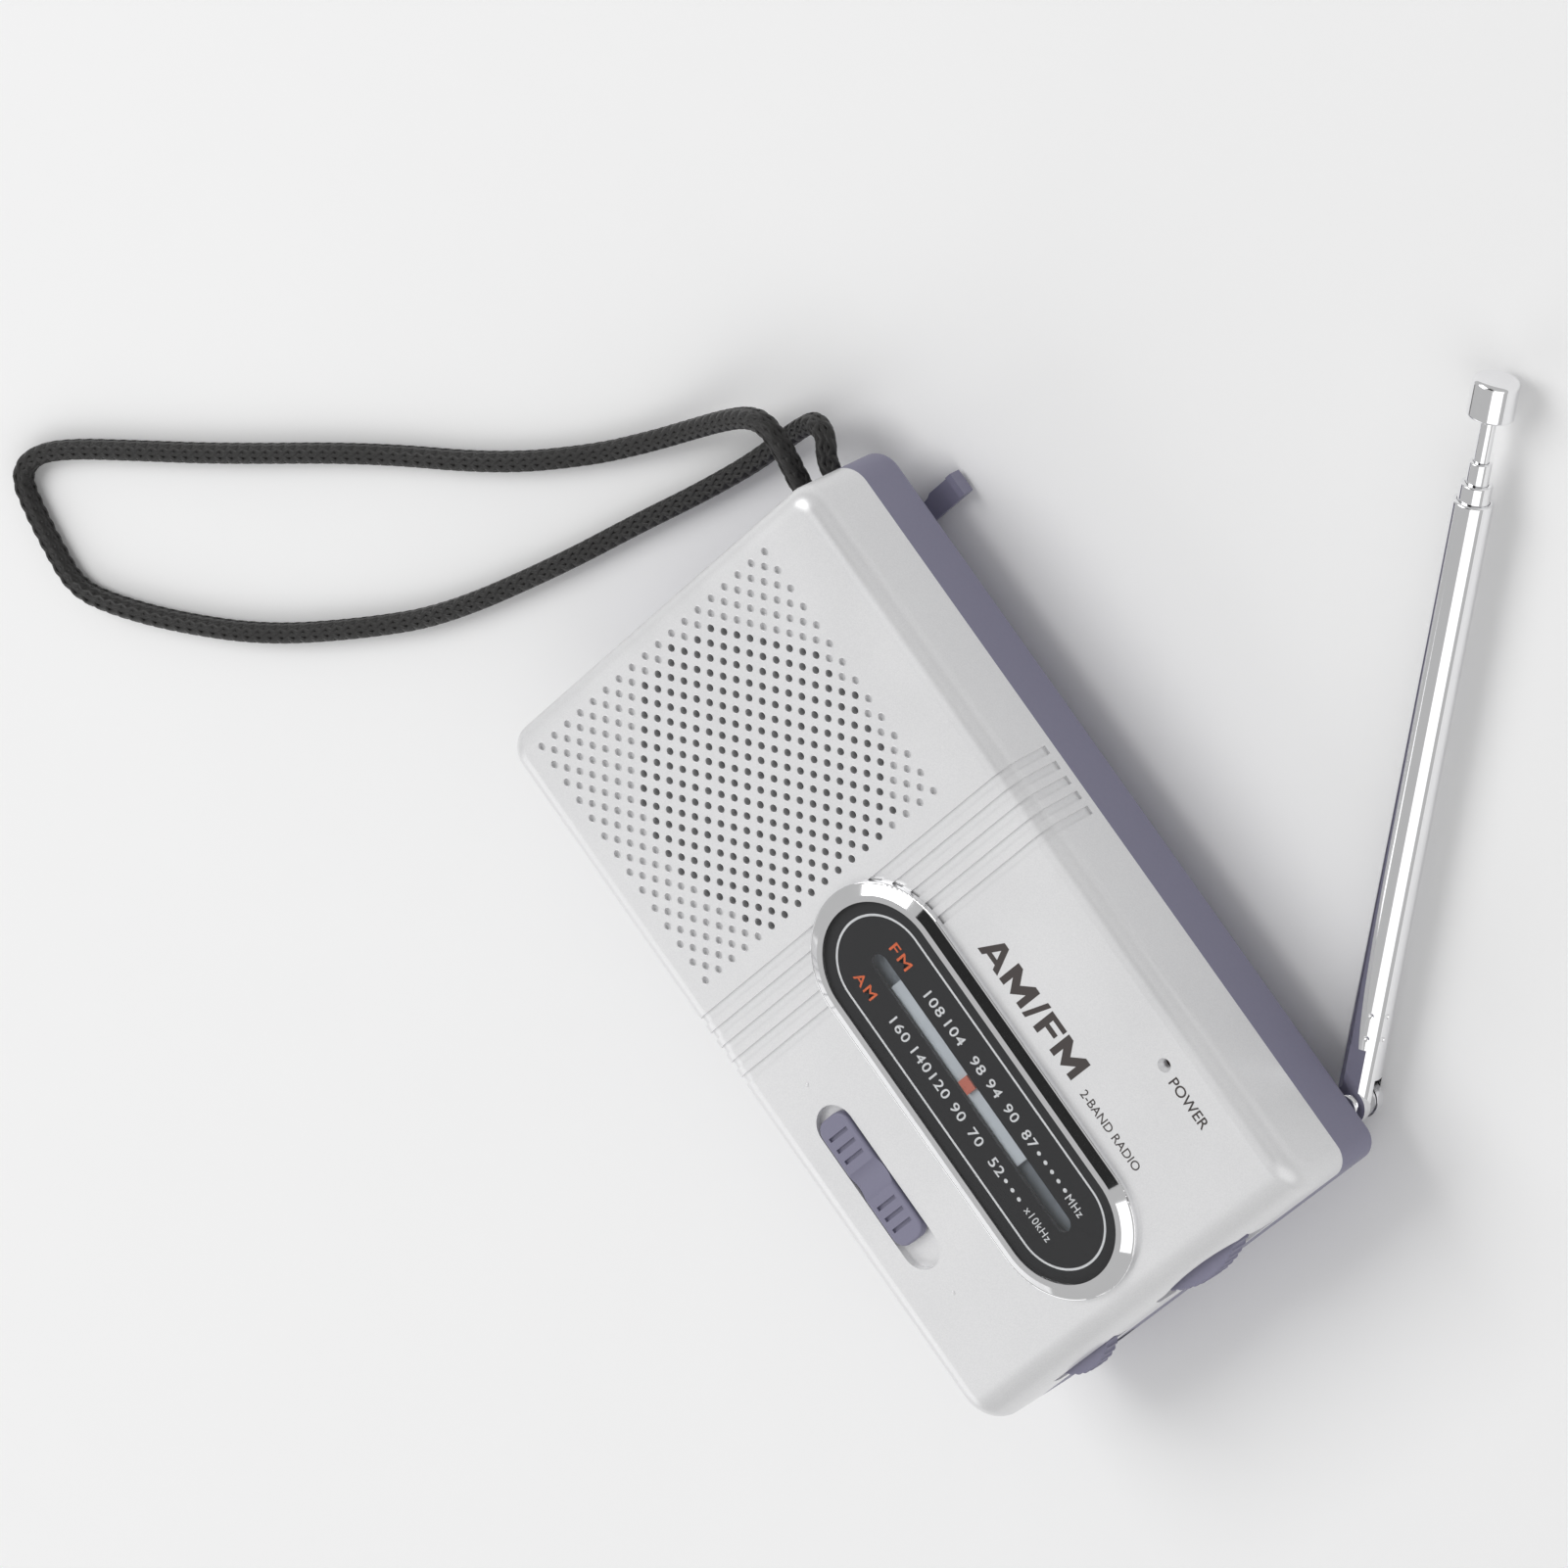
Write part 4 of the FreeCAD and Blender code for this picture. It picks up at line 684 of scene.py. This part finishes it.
# ------------------------------------------------------------------ dial
@dataclass
class Dial:
    """Bezel, window, printed scale and the pointer.

    Attributes:
        frame: the loaded model.
        ends: centres of the dial's two round ends along X, in millimetres.
        line_y: the dial's centre line.
        line_radius: radius of the white line.
        line_width: width of the white line.
        row_gap: distance of each row of numbers from the centre line.
        digit_height: height of a number.
        digit_width: width of a number's digit, with two digits and with three.
        high_row: the numbers of the upper band and their places along X.
        low_row: the numbers of the lower band and their places along X.
        units: each unit with its place along X, its row, its shift, width, height and boldness.
        names: each band name with its place along X, its row, its shift and width.
        name_height: height of a band name.
        high_dots: first dot after the upper numbers, and how many.
        low_dots: first dot after the lower numbers, and how many.
        dot_pitch: distance between dots.
        dot_radius: radius of a dot.
        print_lift: height of a print above the scale.
    """

    frame: dict
    ends: tuple[float, float] = (-0.43, 41.2)
    line_y: float = -0.9
    line_radius: float = 7.46
    line_width: float = 0.34
    row_gap: float = 3.75
    digit_height: float = 1.75
    digit_width: tuple[float, float] = (1.3, 1.22)
    high_row: tuple[tuple[str, float], ...] = (("108", 8.0), ("104", 12.8), ("98", 18.2), ("94", 22.0),
                                               ("90", 26.1), ("87", 30.4))
    low_row: tuple[tuple[str, float], ...] = (("160", 7.8), ("140", 12.8), ("120", 17.2), ("90", 21.5),
                                              ("70", 25.7), ("52", 30.6))
    units: tuple[tuple[str, float, int, float, float, float, float], ...] = (
        ("MHz", 41.3, 1, -0.3, 3.3, 1.4, 0.006), ("x10kHz", 40.2, -1, 0.1, 5.4, 1.35, 0.004))
    names: tuple[tuple[str, float, int, float, float], ...] = (("FM", 0.1, 1, -0.1, 3.9),
                                                               ("AM", 0.1, -1, -0.6, 4.1))
    name_height: float = 1.8
    high_dots: tuple[float, int] = (32.7, 5)
    low_dots: tuple[float, int] = (32.9, 3)
    dot_pitch: float = 1.53
    dot_radius: float = 0.33
    print_lift: float = 0.02

    def build(self) -> None:
        """Dress the dial's pieces and print its scale."""
        finishes = {"dial_bezel": PLATED, "dial_scale": SCALE_BLACK, "dial_lens": CLEAR,
                    "pointer_strip": STRIP_GREY, "pointer_mark": ORANGE, "pointer_guide": RAIL_GREY,
                    "dial_cord": FELT, "dial_cord_post": WHITE_PLASTIC}
        dress(self.frame, finishes)
        self.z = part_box("dial_scale")[1].z / MM + self.print_lift
        self.frame["nodes"]["dial_lens"].visible_shadow = False
        self._numbers()
        self._dots()
        line = stadium_line(*self.ends, self.line_y, self.z, self.line_radius, self.line_width)
        new_piece("print_scale_line", line, "case", WHITE_INK)

    def _numbers(self) -> None:
        """White numbers and units, and orange band names."""
        words = []
        for row, way in ((self.high_row, 1), (self.low_row, -1)):
            for text, x in row:
                width = self.digit_width[len(text) > 2] * len(text)
                words.append(lettering(text, x, self.line_y + way * self.row_gap, self.z, width,
                                       self.digit_height, bold=0.012, spacing=1.15))
        for text, x, way, shift, width, height, bold in self.units:
            words.append(lettering(text, x, self.line_y + way * self.row_gap + shift, self.z, width, height,
                                   bold=bold, spacing=1.12))
        new_piece("print_scale_numbers", join_meshes("print_scale_numbers", words), "case", WHITE_INK)
        names = [lettering(text, x, self.line_y + way * self.row_gap + shift, self.z, width, self.name_height,
                           bold=0.008, spacing=1.2) for text, x, way, shift, width in self.names]
        new_piece("print_band_names", join_meshes("print_band_names", names), "case", ORANGE_INK)

    def _dots(self) -> None:
        """Rows of small dots after the last numbers."""
        tree = Tree("print_scale_dots")
        radius = tree.number("Dot radius", 1.0)
        disc = tree.add("GeometryNodeMeshCircle", fill_type="NGON")
        disc.inputs["Vertices"].default_value = 16
        tree.link(radius, disc.inputs["Radius"])
        spread = tree.add("GeometryNodeInstanceOnPoints")
        tree.link(tree.source.outputs["Geometry"], spread.inputs["Points"])
        tree.link(disc.outputs["Mesh"], spread.inputs["Instance"])
        tree.finish(spread.outputs["Instances"], WHITE_INK)
        places = []
        for (x, count), way in ((self.high_dots, 1), (self.low_dots, -1)):
            places += [(x + k * self.dot_pitch, self.line_y + way * self.row_gap - 0.1, self.z)
                       for k in range(count)]
        mesh = tree.make(point_mesh("dot_places", places), {"Dot radius": self.dot_radius * MM})
        new_piece("print_scale_dots", mesh, "case", WHITE_INK)


# ------------------------------------------------------------------ controls
@dataclass
class Controls:
    """Thumbwheels and the band slider.

    Attributes:
        frame: the loaded model.
    """

    frame: dict

    def build(self) -> None:
        """Dress the controls."""
        finishes = {"tuning_wheel": LAVENDER, "tuning_shaft": BRASS, "tuning_wheel_screw": STEEL,
                    "volume_wheel": LAVENDER, "volume_control": BLACK_PLASTIC, "volume_wheel_screw": STEEL,
                    "band_knob": LAVENDER, "band_switch_slider": BLACK_PLASTIC, "band_switch_body": STEEL,
                    "tuning_capacitor": WHITE_PLASTIC}
        dress(self.frame, finishes)


# ------------------------------------------------------------------ inside
@dataclass
class Inside:
    """Everything under the covers.

    Attributes:
        frame: the loaded model.
    """

    frame: dict

    def build(self) -> None:
        """Dress the inner pieces."""
        finishes = {"speaker_gasket": FELT, "speaker_basket": STEEL, "speaker_magnet": FERRITE,
                    "speaker_cone": PULP, "circuit_board": LAMINATE, "board_screws": STEEL,
                    "ferrite_rod": FERRITE, "aerial_coil": COPPER, "coil_cans": STEEL,
                    "radio_chip": BLACK_PLASTIC, "smoothing_capacitors": CELL_SLEEVE,
                    "earphone_jack": BLACK_PLASTIC, "battery_cell_low": CELL_SLEEVE,
                    "battery_cell_high": CELL_SLEEVE, "battery_contacts_left": STEEL,
                    "battery_contacts_right": STEEL, "battery_springs": STEEL}
        dress(self.frame, finishes)


# ------------------------------------------------------------------ antenna
@dataclass
class Antenna:
    """The telescopic antenna and its hinge.

    Attributes:
        frame: the loaded model.
    """

    frame: dict

    def build(self) -> None:
        """Dress the antenna's sections."""
        finishes = {"antenna_lug": STEEL, "antenna_lug_screw": STEEL, "antenna_fork": PLATED,
                    "antenna_rivet": PLATED, "antenna_tube_1": PLATED, "antenna_tube_2": PLATED,
                    "antenna_tube_3": PLATED, "antenna_rod": PLATED, "antenna_tip": PLATED}
        dress(self.frame, finishes)


# ------------------------------------------------------------------ wrist cord
@dataclass
class WristCord:
    """Braided cord whose two ends go into the case's end wall.

    Attributes:
        diameter: outside of the braid, in millimetres.
        strands: strands each way round.
        turn: length of one turn of a strand, in millimetres.
        strand_half: half thickness and half width of a strand, in millimetres.
        weave: how far a strand rises and dips at the crossings, in millimetres.
        core_in: how far the plain core lies inside the braid, in millimetres.
        wall_x: the case's end wall, where the cord comes out; not used.
        steps: straight pieces in one turn of a strand.
        route: points that the cord follows, in millimetres.
    """

    diameter: float = 3.3
    strands: int = 8
    turn: float = 17.0
    strand_half: tuple[float, float] = (0.25, 0.53)
    weave: float = 0.15
    core_in: float = 0.42
    wall_x: float = -58.5
    steps: int = 32
    route: tuple[Point, ...] = (
        (-56.3, 23.1, 12.7), (-60.4, 23.1, 12.7), (-65.0, 24.6, 13.3), (-69.8, 24.6, 12.9),
        (-72.8, 21.2, 10.8), (-75.4, 14.6, 7.5), (-78.0, 6.7, 4.2), (-81.2, -2.6, 2.2),
        (-85.4, -12.8, 1.65), (-93.4, -27.4, 1.65), (-107.3, -45.6, 1.65),
        (-121.9, -68.4, 1.65), (-131.8, -82.6, 1.65), (-138.4, -92.2, 1.65),
        (-141.4, -98.6, 1.65), (-140.6, -103.0, 1.65), (-136.2, -104.5, 1.65),
        (-129.4, -105.8, 1.65), (-122.6, -106.6, 1.65), (-116.8, -102.6, 1.65),
        (-108.2, -94.1, 1.65), (-97.8, -81.4, 1.65), (-88.6, -64.9, 1.65),
        (-82.2, -51.0, 1.65), (-76.7, -28.8, 1.65), (-73.6, -12.5, 1.65), (-71.2, -1.5, 1.8),
        (-69.2, 9.8, 2.4), (-68.5, 17.2, 3.4), (-67.9, 22.8, 5.1), (-66.9, 27.3, 7.3),
        (-64.0, 29.6, 9.9), (-60.4, 27.4, 11.2), (-56.3, 27.4, 11.2))

    def build(self) -> None:
        """Make the core and both sets of strands."""
        core = self._spline("wrist_cord_core")
        path = self._path()
        core.data.bevel_depth = (self.diameter / 2 - self.core_in) * MM
        core.data.bevel_resolution = 4
        core.data.materials.append(BRAID.build())
        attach(core, "case")
        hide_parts("wrist_cord")
        strands = [self._strands(path, "braid_right", 1.0), self._strands(path, "braid_left", -1.0)]

    def _spline(self, name: str) -> bpy.types.Object:
        """A curve object with one smooth open spline through the route's points."""
        curve = bpy.data.curves.new(name, "CURVE")
        curve.dimensions = "3D"
        curve.resolution_u = 12
        spline = curve.splines.new("NURBS")
        spline.points.add(len(self.route) - 1)
        for point, place in zip(spline.points, self.route):
            point.co = (*(v * MM for v in place), 1.0)
        spline.order_u = 3
        spline.use_endpoint_u = True
        piece = bpy.data.objects.new(name, curve)
        bpy.context.scene.collection.objects.link(piece)
        return piece

    def _path(self) -> bpy.types.Mesh:
        """The smooth line of the cord as a mesh of joined points."""
        line = self._spline("wrist_cord_line")
        graph = bpy.context.evaluated_depsgraph_get()
        path = bpy.data.meshes.new_from_object(line.evaluated_get(graph))
        bpy.data.objects.remove(line)
        return path

    @staticmethod
    def _length(path: bpy.types.Mesh) -> float:
        """Length of the cord's line, in metres."""
        return sum((path.vertices[a].co - path.vertices[b].co).length for a, b in (e.vertices for e in path.edges))

    def _strands(self, path: bpy.types.Mesh, name: str, way: float) -> bpy.types.Object:
        """One set of braid strands, all winding the same way.

        Args:
            path: the cord's line.
            name: name of the piece.
            way: 1 or -1, the hand of the winding.

        Returns:
            The strands as one piece.
        """
        tree = Tree(name)
        count = tree.count("Strands", self.strands)
        radius = tree.number("Radius", 1.0)
        turn = tree.number("Turn length", 1.0)
        lift = tree.number("Weave lift", 0.1)
        wide = tree.number("Strand width", 0.5)
        thick = tree.number("Strand thickness", 0.2)
        hand = tree.number("Hand", 1.0)
        step = tree.number("Step", 1.0)
        line = tree.add("GeometryNodeMeshToCurve")
        tree.link(tree.source.outputs["Geometry"], line.inputs["Mesh"])
        even = tree.add("GeometryNodeResampleCurve")
        self._mode(even, "LENGTH", "Length")
        tree.link(line.outputs["Curve"], even.inputs["Curve"])
        tree.link(step, even.inputs["Length"])
        copies = tree.add("GeometryNodeDuplicateElements", domain="SPLINE")
        tree.link(even.outputs["Curve"], copies.inputs["Geometry"])
        tree.link(count, copies.inputs["Amount"])
        along = tree.add("GeometryNodeSplineParameter")
        share = tree.math("DIVIDE", copies.outputs["Duplicate Index"], count)
        turns = tree.math("DIVIDE", along.outputs["Length"], turn)
        angle = tree.math("MULTIPLY", tree.math("ADD", tree.math("MULTIPLY", turns, hand), share), math.tau)
        out, tangent = self._radial(tree, angle)
        crossings = tree.math("MULTIPLY", tree.math("MULTIPLY", turns, count), math.tau / 2)
        phase = tree.math("ADD", crossings, tree.math("MULTIPLY", share, math.tau * self.strands / 2))
        wave = tree.math("MULTIPLY", tree.math("SINE", tree.math("ADD", phase, tree.math(
            "MULTIPLY", tree.math("SUBTRACT", hand, 1.0), math.pi / 2))), lift)
        reach = tree.math("ADD", radius, wave)
        capture = tree.add("GeometryNodeCaptureAttribute", domain="POINT")
        capture.capture_items.new("VECTOR", "Out")
        tree.link(copies.outputs["Geometry"], capture.inputs["Geometry"])
        tree.link(out, capture.inputs["Out"])
        move = tree.add("GeometryNodeSetPosition")
        tree.link(capture.outputs["Geometry"], move.inputs["Geometry"])
        tree.link(tree.vector("SCALE", capture.outputs["Out"], reach), move.inputs["Offset"])
        face = tree.add("GeometryNodeSetCurveNormal")
        self._mode(face, "FREE", "Free")
        tree.link(move.outputs["Geometry"], face.inputs["Curve"])
        tree.link(capture.outputs["Out"], face.inputs["Normal"])
        profile = tree.add("GeometryNodeCurvePrimitiveCircle")
        profile.inputs["Resolution"].default_value = 6
        profile.inputs["Radius"].default_value = 1.0
        flat = tree.add("GeometryNodeTransform")
        tree.link(profile.outputs["Curve"], flat.inputs["Geometry"])
        tree.link(tree.point(thick, wide, 1.0), flat.inputs["Scale"])
        sweep = tree.add("GeometryNodeCurveToMesh")
        sweep.inputs["Fill Caps"].default_value = True
        tree.link(face.outputs["Curve"], sweep.inputs["Curve"])
        tree.link(flat.outputs["Geometry"], sweep.inputs["Profile Curve"])
        smooth = tree.add("GeometryNodeSetShadeSmooth")
        tree.link(sweep.outputs["Mesh"], smooth.inputs["Geometry"])
        tree.finish(smooth.outputs["Geometry"], BRAID)
        thickness, width = self.strand_half
        mesh = tree.make(path.copy(), {
            "Strands": self.strands, "Radius": (self.diameter / 2 - thickness - self.weave) * MM,
            "Turn length": self.turn * MM, "Weave lift": self.weave * MM, "Strand width": width * MM,
            "Strand thickness": thickness * MM, "Hand": way, "Step": self.turn / self.steps * MM})
        return new_piece(name, mesh, "case", BRAID)

    @staticmethod
    def _mode(node: bpy.types.Node, value: str, label: str) -> None:
        """Choose a node's mode, which is a property or a menu input."""
        if hasattr(node, "mode"):
            node.mode = value
        else:
            node.inputs["Mode"].default_value = label

    @staticmethod
    def _radial(tree: Tree, angle: bpy.types.NodeSocket) -> tuple[bpy.types.NodeSocket, bpy.types.NodeSocket]:
        """Direction out of the cord's line at an angle round it, with the line's tangent."""
        normal = tree.add("GeometryNodeInputNormal").outputs["Normal"]
        tangent = tree.add("GeometryNodeInputTangent").outputs["Tangent"]
        side = tree.vector("CROSS_PRODUCT", tangent, normal)
        across = tree.vector("SCALE", normal, tree.math("COSINE", angle))
        over = tree.vector("SCALE", side, tree.math("SINE", angle))
        return tree.vector("NORMALIZE", tree.vector("ADD", across, over)), tangent


# ------------------------------------------------------------------ studio
@dataclass
class Studio:
    """Floor, lights and camera.

    Attributes:
        camera_place: the camera's place, in millimetres.
        camera_right: the direction of the picture's right side.
        camera_down: the direction of the picture's lower side.
        lens: focal length on a 36 mm sensor.
        floor_size: side of the floor, in metres.
        floor_drop: how far the floor lies under the radio, in metres.
        sky: brightness of the surroundings.
        card_place: the middle of the dark card, in metres.
        card_size: side of the dark card, in metres.
        lamps: each light's name, place in metres, side in metres and power in watts.
    """

    camera_place: Point = (103.17, 753.73, 955.72)
    camera_right: Point = (0.57203313, 0.59601871, -0.56350669)
    camera_down: Point = (0.81287342, -0.50374772, 0.29236114)
    lens: float = 202.55
    floor_size: float = 6.0
    floor_drop: float = 0.0004
    sky: float = 0.5
    card_place: Point = (-0.121, 0.418, 1.01)
    card_size: float = 0.45
    lamps: tuple[tuple[str, Point, float, float], ...] = (
        ("key", (-0.9, -0.1, 1.2), 1.0, 9.0),
        ("fill", (0.9, 0.4, 0.9), 1.2, 3.5),
        ("rim", (0.1, -1.1, 0.6), 0.9, 2.4))

    def build(self) -> None:
        """Set up the view, the floor, the card and the light."""
        self._camera()
        self._floor()
        self._card()
        self._world()
        self._lights()

    def _camera(self) -> None:
        """A long lens from above the top right corner."""
        data = bpy.data.cameras.new("view")
        data.sensor_width = 36.0
        data.lens = self.lens
        data.clip_start = 0.05
        data.clip_end = 50.0
        camera = bpy.data.objects.new("view", data)
        bpy.context.scene.collection.objects.link(camera)
        right = Vector(self.camera_right).normalized()
        up = (-Vector(self.camera_down)).normalized()
        turn = Matrix((right, up, right.cross(up))).transposed()
        camera.matrix_world = Matrix.Translation(Vector(self.camera_place) * MM) @ turn.to_4x4()
        bpy.context.scene.camera = camera

    def _floor(self) -> None:
        """A wide pale floor just under the radio."""
        half = self.floor_size / 2
        mesh = bpy.data.meshes.new("studio_floor")
        corners = [(x, y, -self.floor_drop) for x, y in ((-half, -half), (half, -half), (half, half), (-half, half))]
        mesh.from_pydata(corners, [], [(0, 1, 2, 3)])
        mesh.materials.append(FLOOR.build())
        floor = bpy.data.objects.new("studio_floor", mesh)
        bpy.context.scene.collection.objects.link(floor)
        floor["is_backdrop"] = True

    def _world(self) -> None:
        """Even pale surroundings."""
        world = bpy.data.worlds.new("studio")
        world.use_nodes = True
        surroundings = world.node_tree.nodes["Background"]
        surroundings.inputs["Color"].default_value = (1.0, 1.0, 1.0, 1.0)
        surroundings.inputs["Strength"].default_value = self.sky
        bpy.context.scene.world = world
        bpy.context.scene.view_settings.view_transform = "Standard"

    def _card(self) -> None:
        """A dark card overhead, which the bright edges and the plated tube mirror."""
        half = self.card_size / 2
        centre = Vector(self.card_place)
        turn = (-centre).to_track_quat("Z", "Y").to_matrix()
        mesh = bpy.data.meshes.new("studio_card")
        spots = [(-half, -half, 0), (half, -half, 0), (half, half, 0), (-half, half, 0)]
        mesh.from_pydata([centre + turn @ Vector(spot) for spot in spots], [], [(0, 1, 2, 3)])
        mesh.materials.append(CARD.build())
        card = bpy.data.objects.new("studio_card", mesh)
        bpy.context.scene.collection.objects.link(card)
        card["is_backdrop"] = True

    def _lights(self) -> None:
        """The large soft lights."""
        for name, place, size, power in self.lamps:
            self._area(name, place, size, power)

    @staticmethod
    def _area(name: str, place: Point, size: float, power: float) -> None:
        """A square soft light that faces the radio."""
        data = bpy.data.lights.new(name, "AREA")
        data.size = size
        data.energy = power
        lamp = bpy.data.objects.new(name, data)
        bpy.context.scene.collection.objects.link(lamp)
        lamp.location = place
        lamp.rotation_euler = (-Vector(place)).to_track_quat("-Z", "Y").to_euler()


def dress(frame: dict, finishes: dict[str, Finish]) -> None:
    """Give the model's own pieces their finishes.

    Args:
        frame: the loaded model.
        finishes: finish by piece name.
    """
    for node, finish in finishes.items():
        mesh = frame["nodes"][node].data
        mesh.materials.clear()
        mesh.materials.append(finish.build())
        log.info("%s: %s", node, finish.name)


def corners() -> list[list[float]]:
    """The model's box now, as plain lists."""
    return [list(map(float, corner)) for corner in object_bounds()]


def main() -> None:
    """Load the model, dress it, add the fine pieces and set up the studio."""
    logging.basicConfig(level=logging.INFO, format="%(name)s %(message)s")
    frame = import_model()
    sections: list[Callable[[], None]] = [Studio().build, WristCord().build, Case(frame).build, Dial(frame).build,
                                          Controls(frame).build, Inside(frame).build, Antenna(frame).build]
    for build in sections:
        build()


if __name__ == "__main__":
    main()
